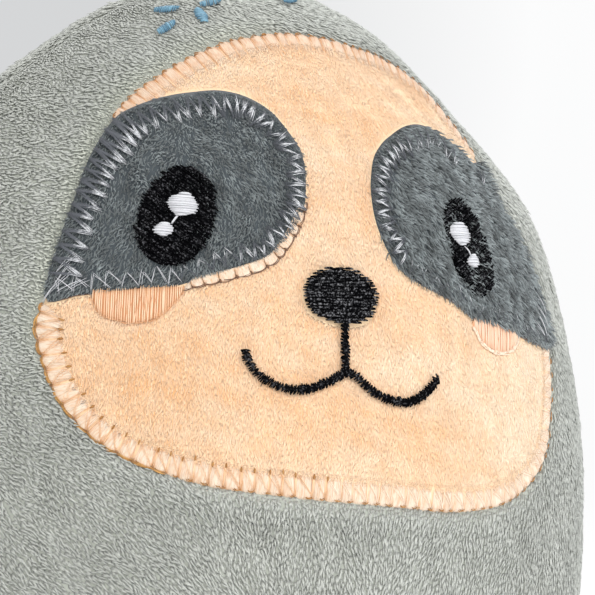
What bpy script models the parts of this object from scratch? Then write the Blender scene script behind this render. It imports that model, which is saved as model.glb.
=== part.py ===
"""A plush sloth: an egg-shaped stuffed body with a sewn-on face, two arms and two feet.

Metres, +Z up. The toy faces -Y and stands on z = 0, so its own left side is at +X.
Every fabric layer is the body's surface moved out along its normals by a named level.
"""

import math

import bmesh
import bpy
from mathutils import Euler, Matrix, Vector
from mathutils.bvhtree import BVHTree

# Body, measured over the pile
BODY_HALF_WIDTH = 0.100
BODY_TOP = 0.266
BASE_HALF_WIDTH = 0.050
BASE_RIM = 0.006
BODY_SEGMENTS = 36
BODY_BANDS = 20
SECTION_POWER = 1.94
# Depth over width, at the base and at the crown
BODY_DEPTH_SHARES = (0.99, 0.74)
# Outline below the widest place: share of the way from the base's rim out, and height
BODY_LOWER_SHARES = (
    (0.216, 0.014),
    (0.420, 0.050),
    (0.625, 0.118),
    (0.807, 0.205),
    (0.927, 0.305),
    (1.000, 0.454),
)
# Outline above it: share of the half-width, and height
BODY_UPPER_SHARES = (
    (0.975, 0.603),
    (0.895, 0.722),
    (0.772, 0.821),
    (0.557, 0.901),
    (0.356, 0.960),
    (0.176, 0.990),
    (0.000, 1.000),
)

# Fabric layers
GAP = 0.0003
PILE_DEPTH = 0.002
SKIN_THICKNESS = 0.0015
FACE_THICKNESS = 0.0012
BORDER_THICKNESS = 0.0007
EYE_PATCH_THICKNESS = 0.0012
EMBROIDERY_THICKNESS = 0.0008
GLINT_THICKNESS = 0.0005
NOSE_THICKNESS = 0.0014
CHEEK_THICKNESS = 0.0006
FLAT_DEPTH = 0.0005

# Levels of the layers' lower sides over the pile's surface
SKIN_TOP_LEVEL = -PILE_DEPTH
STUFFING_LEVEL = SKIN_TOP_LEVEL - SKIN_THICKNESS - GAP
FACE_LEVEL = SKIN_TOP_LEVEL + GAP
ON_FACE_LEVEL = FACE_LEVEL + FACE_THICKNESS + GAP
ON_EYE_PATCH_LEVEL = ON_FACE_LEVEL + EYE_PATCH_THICKNESS + GAP
GLINT_LEVEL = ON_EYE_PATCH_LEVEL + EMBROIDERY_THICKNESS + GAP

# Face patch, seen from the front; its outline runs down the left side
FACE_BELOW_CROWN = 0.0657
FACE_HEIGHT = BODY_TOP - FACE_BELOW_CROWN
FACE_HALF_WIDTH = 0.0655
FACE_HALF_HEIGHT = 0.0526
CUT_REACH = BODY_HALF_WIDTH * 2
LINE_STEPS = 3
FACE_TOP_SHARES = (
    (0.000, 1.000),
    (0.183, 0.973),
    (0.366, 0.899),
    (0.504, 0.817),
    (0.600, 0.730),
    (0.716, 0.546),
)
FACE_SIDE_SHARES = (
    (0.716, 0.546),
    (0.788, 0.375),
    (0.878, 0.203),
    (0.947, 0.004),
    (0.992, -0.272),
)
FACE_BOTTOM_SHARES = (
    (0.992, -0.272),
    (0.998, -0.400),
    (0.974, -0.544),
    (0.911, -0.720),
    (0.795, -0.872),
    (0.600, -0.968),
    (0.336, -0.998),
    (0.000, -1.000),
)
EYE_PATCH_INNER_SHARES = (
    (0.992, -0.272),
    (0.794, -0.219),
    (0.580, -0.160),
    (0.366, -0.065),
    (0.191, 0.082),
    (0.131, 0.298),
    (0.168, 0.517),
    (0.305, 0.660),
    (0.473, 0.677),
    (0.611, 0.616),
    (0.716, 0.546),
)
FACE_BORDER_SHARE = 0.93
EYE_BORDER_SHARE = 0.88
EYE_PATCH_CENTRE_SHARES = (0.565, 0.203)

# Embroidered features, on the left side where they come in pairs; their centres are shares
# of the face's half sizes, and the glints' are shares of the eye's
EYE_CENTRE_SHARES = (0.566, 0.129)
EYE_HALF_WIDTH = 0.0078
EYE_HALF_HEIGHT = 0.0117
EYE_TILT = math.radians(15)
LARGE_GLINT_SHARES = (-0.256, 0.265)
LARGE_GLINT_HALF_WIDTH = 0.0034
LARGE_GLINT_HALF_HEIGHT = 0.0029
SMALL_GLINT_SHARES = (0.269, -0.256)
SMALL_GLINT_HALF_WIDTH = 0.0021
SMALL_GLINT_HALF_HEIGHT = 0.0016
NOSE_CENTRE_SHARES = (0.0, -0.135)
NOSE_HALF_WIDTH = 0.0096
NOSE_HALF_HEIGHT = 0.0066
MOUTH_CENTRE_SHARES = (0.0, -0.451)
MOUTH_LINE = 0.0022
MOUTH_HALF_WIDTH = 0.0239
# Half the mouth's line from its middle, as shares of its half-width
MOUTH_SHARES = (
    (0.000, 0.000),
    (0.197, -0.109),
    (0.418, -0.205),
    (0.628, -0.217),
    (0.795, -0.167),
    (0.921, -0.079),
    (1.000, 0.042),
)
CHEEK_CENTRE_SHARES = (0.696, -0.215)
CHEEK_HALF_WIDTH = 0.0082
CHEEK_DEPTH = 0.0062
CHEEK_TILT = math.radians(-12.5)
ELLIPSE_SEGMENTS = 20

# Limbs, measured over their skins
LIMB_SKIN = 0.0012
LIMB_SEGMENTS = 12
CAP_BANDS = 3
LIMB_BANDS = 6
# From the opening's middle, where the limb is sewn on, to its rim
SEAT_OPENING = 0.001
# Radius over the end's radius, and distance from the hinge over the reach
LIMB_OUTLINE_SHARES = (
    (0.93, 0.20),
    (1.00, 0.58),
    (0.90, 0.82),
    (0.55, 0.96),
    (0.00, 1.00),
)
CLAW_RADIUS = 0.0042
CLAW_LENGTH = 0.017
CLAW_SHOWN = 0.009
CLAW_SEGMENTS = 8
CLAW_SPLAY = math.radians(11)
CLAW_SPACING_SHARE = 0.58
CLAW_OUTLINE_SHARES = ((0.0, 0.0), (0.85, 0.14), (1.0, 0.38), (0.78, 0.66), (0.42, 0.90), (0.0, 1.0))
ARM_BEARING = math.radians(80)
ARM_ROOT_RADIUS = 0.012
ARM_END_RADIUS = 0.016
ARM_REACH = 0.070
ARM_OVER_FLOOR = 0.016
ARM_HINGE_HEIGHT = ARM_OVER_FLOOR + CLAW_SHOWN + ARM_REACH
ARM_WIDTH_SHARE = 1.25
FOOT_BEARING = math.radians(27)
FOOT_SPLAY = math.radians(14)
FOOT_ROOT_RADIUS = 0.017
FOOT_END_RADIUS = FOOT_ROOT_RADIUS + FLAT_DEPTH
FOOT_REACH = 0.038
FOOT_WIDTH_SHARE = 1.3

# Colours and roughness
GREY_PILE = ((0.34, 0.36, 0.33), 0.9)
PEACH_PILE = ((0.93, 0.71, 0.47), 0.85)
DARK_PILE = ((0.115, 0.145, 0.160), 0.9)
PEACH_THREAD = ((0.95, 0.72, 0.50), 0.5)
SILVER_THREAD = ((0.55, 0.58, 0.60), 0.5)
BLACK_THREAD = ((0.010, 0.009, 0.010), 0.45)
WHITE_THREAD = ((0.80, 0.79, 0.83), 0.45)
BLUSH_THREAD = ((0.90, 0.46, 0.30), 0.5)
CREAM_PILE = ((0.80, 0.70, 0.55), 0.85)
WHITE_FIBRE = ((0.85, 0.85, 0.84), 1.0)

SIDES = {"left": 1, "right": -1}
UP = Vector((0, 0, 1))
SHARP_ANGLE = math.radians(40)
SEAT_STEPS = 40


def new_collection(name):
    """A collection linked to the scene."""
    collection = bpy.data.collections.new(name)
    bpy.context.scene.collection.children.link(collection)
    return collection


def clear_scene():
    """Removes every object that the file opened with."""
    for thing in list(bpy.data.objects):
        bpy.data.objects.remove(thing, do_unlink=True)


def finish(piece, look):
    """Gives a piece its own material from a colour and a roughness."""
    colour, roughness = look
    material = bpy.data.materials.new(piece.name + "_finish")
    material.use_nodes = True
    shader = material.node_tree.nodes["Principled BSDF"]
    shader.inputs["Base Color"].default_value = (*colour, 1)
    shader.inputs["Roughness"].default_value = roughness
    shader.inputs["Metallic"].default_value = 0
    piece.data.materials.append(material)


def add_piece(name, form, look):
    """An object in the toy's collection from a bmesh, which it frees."""
    mesh = bpy.data.meshes.new(name)
    form.to_mesh(mesh)
    form.free()
    piece = bpy.data.objects.new(name, mesh)
    TOY.objects.link(piece)
    finish(piece, look)
    mesh.shade_smooth()
    mesh.set_sharp_from_angle(angle=SHARP_ANGLE)
    return piece


def add_cutter(name, mesh):
    """A hidden object that only cuts others."""
    cutter = bpy.data.objects.new(name, mesh)
    cutter.hide_render = True
    cutter.display_type = "WIRE"
    CUTTERS.objects.link(cutter)
    return cutter


def solidify(piece, thickness, side):
    """Thickens an open surface outward, side 1, or inward, side -1."""
    wall = piece.modifiers.new("wall", "SOLIDIFY")
    wall.thickness = thickness
    wall.offset = side
    wall.use_even_offset = False


def boolean(piece, cutter, operation):
    """Cuts a piece by, or down to, a cutter."""
    cut = piece.modifiers.new(operation.lower(), "BOOLEAN")
    cut.object = cutter
    cut.operation = operation
    cut.solver = "EXACT"


def smooth_line(points, steps=LINE_STEPS):
    """Points on a smooth curve through the given ones, with so many steps to a span."""
    ends = [points[0] * 2 - points[1], *points, points[-1] * 2 - points[-2]]
    line = []
    for before, start, end, after in zip(ends, ends[1:], ends[2:], ends[3:]):
        for step in range(steps):
            t = step / steps
            slope = (end - before) * t
            bend = (before * 2 - start * 5 + end * 4 - after) * t**2
            twist = (start * 3 - before - end * 3 + after) * t**3
            line.append(start + (slope + bend + twist) / 2)
    return [*line, points[-1]]


def spaced(line, count):
    """Splits a line into so many steps of equal length."""
    reach = [0.0]
    for start, end in zip(line, line[1:]):
        reach.append(reach[-1] + (end - start).length)
    places = []
    span = 0
    for step in range(count + 1):
        target = reach[-1] * step / count
        while span < len(line) - 2 and reach[span + 1] < target:
            span += 1
        share = (target - reach[span]) / (reach[span + 1] - reach[span])
        places.append(line[span].lerp(line[span + 1], share))
    return places


def turned_form(rings, segments, section):
    """A sphere's mesh whose rows take the rings, radius and height, from the top down."""
    form = bmesh.new()
    rows = len(rings) - 1
    bmesh.ops.create_uvsphere(form, u_segments=segments, v_segments=rows, radius=1)
    for point in form.verts:
        row = round(math.acos(max(-1, min(1, point.co.z))) / math.pi * rows)
        radius, height = rings[row]
        point.co = section(radius, height, math.atan2(point.co.y, point.co.x))
    bmesh.ops.triangulate(form, faces=form.faces)
    form.normal_update()
    return form


def swell(form, distance):
    """Moves each point of a form out along its normal."""
    for point in form.verts:
        point.co += point.normal * distance
    form.normal_update()
    return form


def body_rings():
    """The body's outline, radius and height, from the crown down to the middle of the base."""
    height = BODY_TOP + PILE_DEPTH
    rim = Vector((BASE_HALF_WIDTH + BASE_RIM, 0))
    widest = Vector((BODY_HALF_WIDTH, 0))
    lower = [rim.lerp(widest, x) + Vector((0, z * height)) for x, z in BODY_LOWER_SHARES]
    upper = [Vector((x * BODY_HALF_WIDTH, z * height)) for x, z in BODY_UPPER_SHARES]
    outline = spaced(smooth_line([rim, *lower, *upper]), BODY_BANDS)
    base = [Vector((0, 0)), Vector((BASE_HALF_WIDTH, 0))]
    floor = Vector((0, PILE_DEPTH))
    return [ring - floor for ring in reversed([*base, *outline])]


def body_section(radius, height, angle):
    """A point on the body's oval section."""
    low, high = BODY_DEPTH_SHARES
    share = (height + PILE_DEPTH) / (BODY_TOP + PILE_DEPTH)
    across, along = math.cos(angle), math.sin(angle)
    edge = (abs(across) ** SECTION_POWER + abs(along) ** SECTION_POWER) ** (-1 / SECTION_POWER)
    depth = low + (high - low) * share
    return Vector((radius * edge * across, radius * edge * along * depth, height))


def body_form(level):
    """The body's surface at a level over its pile, flat where it stands."""
    form = swell(turned_form(body_rings(), BODY_SEGMENTS, body_section), level)
    floor = SKIN_TOP_LEVEL - level
    for point in form.verts:
        point.co.z = max(point.co.z, floor)
    return form


def keep_side(form, place, outward):
    """Cuts an open surface at a plane and drops what lies beyond it."""
    geometry = [*form.verts, *form.edges, *form.faces]
    bmesh.ops.bisect_plane(form, geom=geometry, plane_co=place, plane_no=outward, clear_outer=True)


def drop_base(form):
    """Opens the body's surface inside the ring where the base panel is sewn in."""
    inside = [
        face
        for face in form.faces
        if face.calc_center_median().z < GAP and face.calc_center_median().xy.length < BASE_HALF_WIDTH
    ]
    bmesh.ops.delete(form, geom=inside, context="FACES")


def box_cutter(name, low, high):
    """A hidden box between two corners."""
    form = bmesh.new()
    place = Matrix.Translation((low + high) / 2) @ Matrix.Diagonal((*(high - low), 1))
    bmesh.ops.create_cube(form, size=1, matrix=place)
    mesh = bpy.data.meshes.new(name)
    form.to_mesh(mesh)
    form.free()
    return add_cutter(name, mesh)


def add_skin(name, low, high):
    """A panel of the outer skin, between the planes of its seams."""
    form = body_form(SKIN_TOP_LEVEL)
    drop_base(form)
    skin = add_piece(name, form, GREY_PILE)
    solidify(skin, SKIN_THICKNESS, -1)
    boolean(skin, box_cutter(name + "_cutter", low, high), "INTERSECT")


def add_body():
    """The stuffing, the three skin panels round it and the base panel under it."""
    add_piece("body_stuffing", body_form(STUFFING_LEVEL), WHITE_FIBRE)
    reach, seam = BODY_TOP, GAP / 2
    add_skin("front_skin", Vector((-reach, -reach, -reach)), Vector((reach, -seam, reach)))
    add_skin("back_skin_left", Vector((seam, seam, -reach)), Vector((reach, reach, reach)))
    add_skin("back_skin_right", Vector((-reach, seam, -reach)), Vector((-seam, reach, reach)))
    rim = BASE_HALF_WIDTH - GAP
    turns = [math.tau * step / BODY_SEGMENTS for step in range(BODY_SEGMENTS)]
    outline = [body_section(rim, -PILE_DEPTH, turn).xy for turn in turns]
    base = bpy.data.objects.new("base_panel", prism_mesh("base_panel", [outline], SKIN_THICKNESS))
    base.location.z = SKIN_THICKNESS / 2
    TOY.objects.link(base)
    finish(base, GREY_PILE)


def prism_mesh(name, outlines, depth):
    """A closed mesh of flat outlines in XY, with depth along Z about zero."""
    shape = bpy.data.curves.new(name, "CURVE")
    shape.dimensions = "2D"
    shape.fill_mode = "BOTH"
    shape.extrude = depth / 2
    for outline in outlines:
        spline = shape.splines.new("POLY")
        spline.points.add(len(outline) - 1)
        for point, place in zip(spline.points, outline):
            point.co = (place.x, place.y, 0, 1)
        spline.use_cyclic_u = True
    holder = bpy.data.objects.new(name + "_outline", shape)
    CUTTERS.objects.link(holder)
    graph = bpy.context.evaluated_depsgraph_get()
    mesh = bpy.data.meshes.new_from_object(holder.evaluated_get(graph))
    bpy.data.objects.remove(holder, do_unlink=True)
    form = bmesh.new()
    form.from_mesh(mesh)
    bmesh.ops.remove_doubles(form, verts=form.verts, dist=GAP / 100)
    bmesh.ops.recalc_face_normals(form, faces=form.faces)
    form.to_mesh(mesh)
    form.free()
    return mesh


def front_cutter(name, outlines):
    """A prism through the toy's front half, from outlines in its front view."""
    cutter = add_cutter(name + "_cutter", prism_mesh(name + "_cutter", outlines, CUT_REACH))
    cutter.rotation_euler.x = math.pi / 2
    cutter.location.y = -CUT_REACH / 2
    return cutter


def add_applique(name, outlines, level, thickness, look):
    """A layer of the front, from a level outward, cut to outlines in the front view."""
    form = body_form(level)
    keep_side(form, Vector(), Vector((0, 1, 0)))
    piece = add_piece(name, form, look)
    solidify(piece, thickness, 1)
    boolean(piece, front_cutter(name, outlines), "INTERSECT")
    return piece


def mirrored(line):
    """A line on the toy's other side, run the other way."""
    return [Vector((-point.x, point.y)) for point in reversed(line)]


def on_face(shares):
    """A place in the face's front view, given as shares of its half sizes."""
    across, up = shares
    return Vector((across * FACE_HALF_WIDTH, FACE_HEIGHT + up * FACE_HALF_HEIGHT))


def on_eye(shares):
    """A place in the front view, given as shares of the eye's half sizes."""
    across, up = shares
    return on_face(EYE_CENTRE_SHARES) + Vector((across * EYE_HALF_WIDTH, up * EYE_HALF_HEIGHT))


def face_line(table):
    """A smooth line through places on the face."""
    return smooth_line([on_face(shares) for shares in table])


def drawn_in(line, centre, share):
    """A line scaled towards a centre."""
    return [centre + (point - centre) * share for point in line]


def sided(outline, side):
    """An outline of the left side, or its mirror image for the right."""
    return outline if side > 0 else mirrored(outline)


def ellipse(centre, half_width, half_height, tilt=0.0, turn=math.tau):
    """An ellipse, or with a smaller turn its lower part, tilted about its centre."""
    count = ELLIPSE_SEGMENTS
    steps = range(count) if turn == math.tau else range(count + 1)
    spin = Matrix.Rotation(tilt, 2)
    angles = [-math.pi + turn * step / count for step in steps]
    return [
        centre + spin @ Vector((half_width * math.cos(a), half_height * math.sin(a)))
        for a in angles
    ]


def stroke(line, width):
    """The outline of a line drawn with a width and square ends."""
    left, right = [], []
    for index, point in enumerate(line):
        along = (line[min(index + 1, len(line) - 1)] - line[max(index - 1, 0)]).normalized()
        aside = Vector((-along.y, along.x)) * width / 2
        left.append(point + aside)
        right.append(point - aside)
    return [*left, *reversed(right)]


def add_face_patch():
    """The face patch and the two satin borders that hold it down."""
    centre = Vector((0, FACE_HEIGHT))
    left = face_line(FACE_TOP_SHARES)[:-1] + face_line(FACE_SIDE_SHARES)[:-1]
    left += face_line(FACE_BOTTOM_SHARES)
    outline = left[1:] + mirrored(left)[1:]
    add_applique("face_patch", [outline], FACE_LEVEL, FACE_THICKNESS, PEACH_PILE)
    crown = face_line(FACE_TOP_SHARES[:-1])
    chin = face_line(FACE_BOTTOM_SHARES[1:])
    strips = {
        "face_border_top": [*mirrored(crown)[:-1], *crown],
        "face_border_bottom": [*chin[:-1], *mirrored(chin)],
    }
    for name, line in strips.items():
        strip = [*line, *reversed(drawn_in(line, centre, FACE_BORDER_SHARE))]
        add_applique(name, [strip], ON_FACE_LEVEL, BORDER_THICKNESS, PEACH_THREAD)


def add_eye(side_name, side):
    """One eye patch with its border, the embroidered eye and its two glints."""
    outline = face_line(FACE_SIDE_SHARES)[:-1] + face_line(EYE_PATCH_INNER_SHARES)[:-1]
    inner = drawn_in(outline, on_face(EYE_PATCH_CENTRE_SHARES), EYE_BORDER_SHARE)
    patch, hole = sided(outline, side), sided(inner, side)
    name = side_name + "_eye"
    add_applique(name + "_patch", [patch], ON_FACE_LEVEL, EYE_PATCH_THICKNESS, DARK_PILE)
    border = add_applique(
        name + "_border", [patch, hole], ON_EYE_PATCH_LEVEL, BORDER_THICKNESS, SILVER_THREAD
    )
    centre = on_face(EYE_CENTRE_SHARES)
    pupil = sided(ellipse(centre, EYE_HALF_WIDTH, EYE_HALF_HEIGHT, EYE_TILT), side)
    room = sided(ellipse(centre, EYE_HALF_WIDTH + GAP, EYE_HALF_HEIGHT + GAP, EYE_TILT), side)
    add_applique(name, [pupil], ON_EYE_PATCH_LEVEL, EMBROIDERY_THICKNESS, BLACK_THREAD)
    boolean(border, front_cutter(name + "_room", [room]), "DIFFERENCE")
    glints = {
        "_large_glint": (LARGE_GLINT_SHARES, LARGE_GLINT_HALF_WIDTH, LARGE_GLINT_HALF_HEIGHT),
        "_small_glint": (SMALL_GLINT_SHARES, SMALL_GLINT_HALF_WIDTH, SMALL_GLINT_HALF_HEIGHT),
    }
    for suffix, (shares, half_width, half_height) in glints.items():
        outline = sided(ellipse(on_eye(shares), half_width, half_height), side)
        add_applique(name + suffix, [outline], GLINT_LEVEL, GLINT_THICKNESS, WHITE_THREAD)


def add_cheek(side_name, side):
    """The half oval of blush thread under one eye patch."""
    centre = on_face(CHEEK_CENTRE_SHARES)
    lower = ellipse(centre, CHEEK_HALF_WIDTH, CHEEK_DEPTH, CHEEK_TILT, math.pi)
    outline = sided(lower, side)
    add_applique(side_name + "_cheek", [outline], ON_FACE_LEVEL, CHEEK_THICKNESS, BLUSH_THREAD)


def add_nose_and_mouth():
    """The satin nose, and the mouth's line with the stem that joins it to the nose."""
    centre, middle = on_face(NOSE_CENTRE_SHARES), on_face(MOUTH_CENTRE_SHARES)
    nose = ellipse(centre, NOSE_HALF_WIDTH, NOSE_HALF_HEIGHT)
    add_applique("nose", [nose], ON_FACE_LEVEL, NOSE_THICKNESS, BLACK_THREAD)
    half = [middle + point for point in smooth_line([Vector(s) * MOUTH_HALF_WIDTH for s in MOUTH_SHARES])]
    line = stroke([*mirrored(half)[:-1], *half], MOUTH_LINE)
    add_applique("mouth", [line], ON_FACE_LEVEL, EMBROIDERY_THICKNESS, BLACK_THREAD)
    top = centre - Vector((0, NOSE_HALF_HEIGHT + GAP))
    stem = front_cutter("mouth_stem", [stroke([top, middle], MOUTH_LINE)])
    boolean(bpy.data.objects["mouth_cutter"], stem, "UNION")


def round_section(radius, height, angle):
    """A point on a round section."""
    return Vector((radius * math.cos(angle), radius * math.sin(angle), height))


def limb_rings(root_radius, end_radius, reach):
    """A limb's outline, radius and height, from its round cap about the hinge down to its end."""
    quarter = [math.pi / 2 * band / CAP_BANDS for band in range(CAP_BANDS)]
    cap = [Vector((root_radius * math.sin(a), root_radius * math.cos(a))) for a in quarter]
    sleeve = [Vector((x * end_radius, -z * reach)) for x, z in LIMB_OUTLINE_SHARES]
    return cap + spaced(smooth_line([Vector((root_radius, 0)), *sleeve]), LIMB_BANDS)


def arm_section(radius, height, angle):
    """A point on an arm's oval section, which keeps its inner side level with its root's."""
    across, along = radius * math.cos(angle), radius * math.sin(angle)
    return Vector((across + max(radius - ARM_ROOT_RADIUS, 0), along * ARM_WIDTH_SHARE, height))


def foot_section(radius, height, angle):
    """A point on a foot's oval section."""
    return Vector((radius * math.cos(angle) * FOOT_WIDTH_SHARE, radius * math.sin(angle), height))


def limb_form(limb, level):
    """A limb about its hinge at zero, pointing down, and flat past its floor along +Y."""
    rings = limb_rings(limb["root"], limb["end"], limb["reach"])
    form = swell(turned_form(rings, LIMB_SEGMENTS, limb["section"]), level)
    for point in form.verts:
        point.co.y = min(point.co.y, limb["floor"] + level)
    return form


def seat_on_body(bearing, height, radius):
    """The centre of a round cap that a gap parts from the body's skin, at a bearing and a height."""
    form = body_form(SKIN_TOP_LEVEL)
    tree = BVHTree.FromBMesh(form)
    form.free()
    outward = Vector((math.sin(bearing), -math.cos(bearing), 0))
    near, far = 0.0, BODY_HALF_WIDTH * 2
    for _ in range(SEAT_STEPS):
        middle = (near + far) / 2
        centre = outward * middle + UP * height
        place, normal, _, distance = tree.find_nearest(centre)
        clear = distance > radius + GAP and (centre - place).dot(normal) > 0
        near, far = (near, middle) if clear else (middle, far)
    return outward * far + UP * height


def add_claws(limb, cutter):
    """The three claws at a limb's end, cut where they meet its skin."""
    rings = [Vector((x * CLAW_RADIUS, -z * CLAW_LENGTH)) for x, z in CLAW_OUTLINE_SHARES]
    spread = limb["half_width"] * CLAW_SPACING_SHARE
    down = CLAW_LENGTH - CLAW_SHOWN - limb["reach"]
    for number in (1, 2, 3):
        place = number - 2
        form = turned_form(rings, CLAW_SEGMENTS, round_section)
        claw = add_piece("%s_claw_%d" % (limb["name"], number), form, CREAM_PILE)
        claw.parent = limb["hinge"]
        claw.location = limb["aside"] * place * spread + UP * down
        claw.rotation_euler = Euler(limb["aside"].cross(UP) * place * CLAW_SPLAY)
        boolean(claw, cutter, "DIFFERENCE")


def add_limb(limb):
    """One limb on its hinge: stuffing, a skin open where it is sewn on, and claws."""
    hinge = bpy.data.objects.new(limb["name"] + "_hinge", None)
    hinge.location = limb["place"]
    hinge.rotation_euler = limb["turn"]
    TOY.objects.link(hinge)
    limb["hinge"] = hinge
    stuffing = add_piece(limb["name"] + "_stuffing", limb_form(limb, -LIMB_SKIN - GAP), WHITE_FIBRE)
    form = limb_form(limb, 0.0)
    sewn = min(form.verts, key=lambda point: (point.co - limb["seat"]).length)
    opened = bmesh.ops.bevel(form, geom=[sewn], offset=SEAT_OPENING, affect="VERTICES", segments=1)
    bmesh.ops.delete(form, geom=opened["faces"], context="FACES_ONLY")
    skin = add_piece(limb["name"] + "_skin", form, GREY_PILE)
    solidify(skin, LIMB_SKIN, -1)
    mesh = bpy.data.meshes.new(limb["name"] + "_cutter")
    form = limb_form(limb, GAP)
    form.to_mesh(mesh)
    form.free()
    cutter = add_cutter(limb["name"] + "_cutter", mesh)
    for piece in (stuffing, skin, cutter):
        piece.parent = hinge
    add_claws(limb, cutter)


def add_arm(side_name, side):
    """An arm that hangs at the body's side and swings out about a level hinge."""
    bearing = side * ARM_BEARING
    add_limb({
        "name": side_name + "_arm",
        "root": ARM_ROOT_RADIUS,
        "end": ARM_END_RADIUS,
        "reach": ARM_REACH,
        "half_width": ARM_END_RADIUS * ARM_WIDTH_SHARE,
        "section": arm_section,
        "aside": Vector((0, 1, 0)),
        "floor": math.inf,
        "seat": Vector((-ARM_ROOT_RADIUS, 0, 0)),
        "place": seat_on_body(bearing, ARM_HINGE_HEIGHT, ARM_ROOT_RADIUS),
        "turn": Euler((0, 0, bearing - math.pi / 2)),
    })


def add_foot(side_name, side):
    """A foot that lies on the floor before the body and tips up about its root."""
    add_limb({
        "name": side_name + "_foot",
        "root": FOOT_ROOT_RADIUS,
        "end": FOOT_END_RADIUS,
        "reach": FOOT_REACH,
        "half_width": FOOT_END_RADIUS * FOOT_WIDTH_SHARE,
        "section": foot_section,
        "aside": Vector((1, 0, 0)),
        "floor": FOOT_ROOT_RADIUS,
        "seat": Vector((0, 0, FOOT_ROOT_RADIUS)),
        "place": seat_on_body(side * FOOT_BEARING, FOOT_ROOT_RADIUS, FOOT_ROOT_RADIUS),
        "turn": Euler((-math.pi / 2, 0, side * FOOT_SPLAY)),
    })


clear_scene()
TOY = new_collection("plush_sloth")
CUTTERS = new_collection("cutters")
add_body()
add_face_patch()
for SIDE_NAME, SIDE in SIDES.items():
    add_eye(SIDE_NAME, SIDE)
    add_cheek(SIDE_NAME, SIDE)
add_nose_and_mouth()
for SIDE_NAME, SIDE in SIDES.items():
    add_arm(SIDE_NAME, SIDE)
    add_foot(SIDE_NAME, SIDE)
bpy.context.view_layer.update()
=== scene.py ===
"""The looks of a plush sloth: one egg of a head and body, short arms and feet, an appliqued face.

The toy faces -Y and stands on the floor at z = 0, with its own left side at +X. Lengths are
metres. Outlines that are drawn on the face are (across, above the floor) in millimetres.
"""

import logging
import math
from collections.abc import Callable, Sequence
from dataclasses import dataclass, field, replace
from enum import Enum

import bpy
import numpy as np
from mathutils import Euler, Matrix, Vector
from mathutils.geometry import delaunay_2d_cdt


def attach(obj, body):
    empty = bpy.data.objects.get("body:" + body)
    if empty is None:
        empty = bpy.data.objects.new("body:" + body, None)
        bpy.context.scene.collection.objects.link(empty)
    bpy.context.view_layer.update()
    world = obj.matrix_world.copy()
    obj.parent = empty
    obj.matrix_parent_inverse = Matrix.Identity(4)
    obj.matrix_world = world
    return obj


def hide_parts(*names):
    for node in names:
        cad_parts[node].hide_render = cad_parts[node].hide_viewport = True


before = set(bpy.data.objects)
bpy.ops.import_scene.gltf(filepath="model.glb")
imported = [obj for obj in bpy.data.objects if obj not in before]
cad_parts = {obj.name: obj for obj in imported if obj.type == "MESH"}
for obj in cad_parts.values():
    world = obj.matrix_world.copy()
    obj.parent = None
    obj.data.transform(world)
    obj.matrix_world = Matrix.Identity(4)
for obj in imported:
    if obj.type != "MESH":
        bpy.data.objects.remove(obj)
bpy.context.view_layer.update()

Array = np.ndarray
Line = Sequence[tuple[float, float]]
Colour = tuple[float, float, float]

LOG = logging.getLogger("plush_sloth")
MM = 0.001
# The lowest that a piece's points may lie, and how far the paper floor lies under them
RESTING = 0.00005
FLOOR_DROP = 0.0002


class Side(Enum):
    """The toy's own sides, as the sign of X."""

    LEFT = 1
    RIGHT = -1

    @property
    def title(self) -> str:
        """The side's name, as the nodes have it."""
        return self.name.lower()


def colour(code: str) -> Colour:
    """Turns a screen colour into the linear colour that a shader takes.

    Args:
        code: six hexadecimal digits, red, green and blue.

    Returns:
        The linear red, green and blue.
    """
    screen = [int(code[i:i + 2], 16) / 255 for i in (0, 2, 4)]
    return tuple(c / 12.92 if c <= 0.04045 else ((c + 0.055) / 1.055) ** 2.4 for c in screen)


class Link:
    """A number or a colour on its way through a material's nodes."""

    def __init__(self, recipe: "Recipe", socket: bpy.types.NodeSocket) -> None:
        """Holds the output socket and the recipe that it belongs to."""
        self.recipe = recipe
        self.socket = socket

    def _math(self, operation: str, first: object, second: object) -> "Link":
        """Adds a Math node for two values, each a Link or a number."""
        return self.recipe.node("ShaderNodeMath", {"operation": operation}, {0: first, 1: second})

    def __add__(self, other: object) -> "Link":
        """This value plus another."""
        return self._math("ADD", self, other)

    def __radd__(self, other: object) -> "Link":
        """Another value plus this one."""
        return self._math("ADD", other, self)

    def __sub__(self, other: object) -> "Link":
        """This value less another."""
        return self._math("SUBTRACT", self, other)

    def __mul__(self, other: object) -> "Link":
        """This value times another."""
        return self._math("MULTIPLY", self, other)

    def clamp(self) -> "Link":
        """This value held between 0 and 1."""
        return self.recipe.node("ShaderNodeClamp", {}, {"Value": self})


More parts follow.
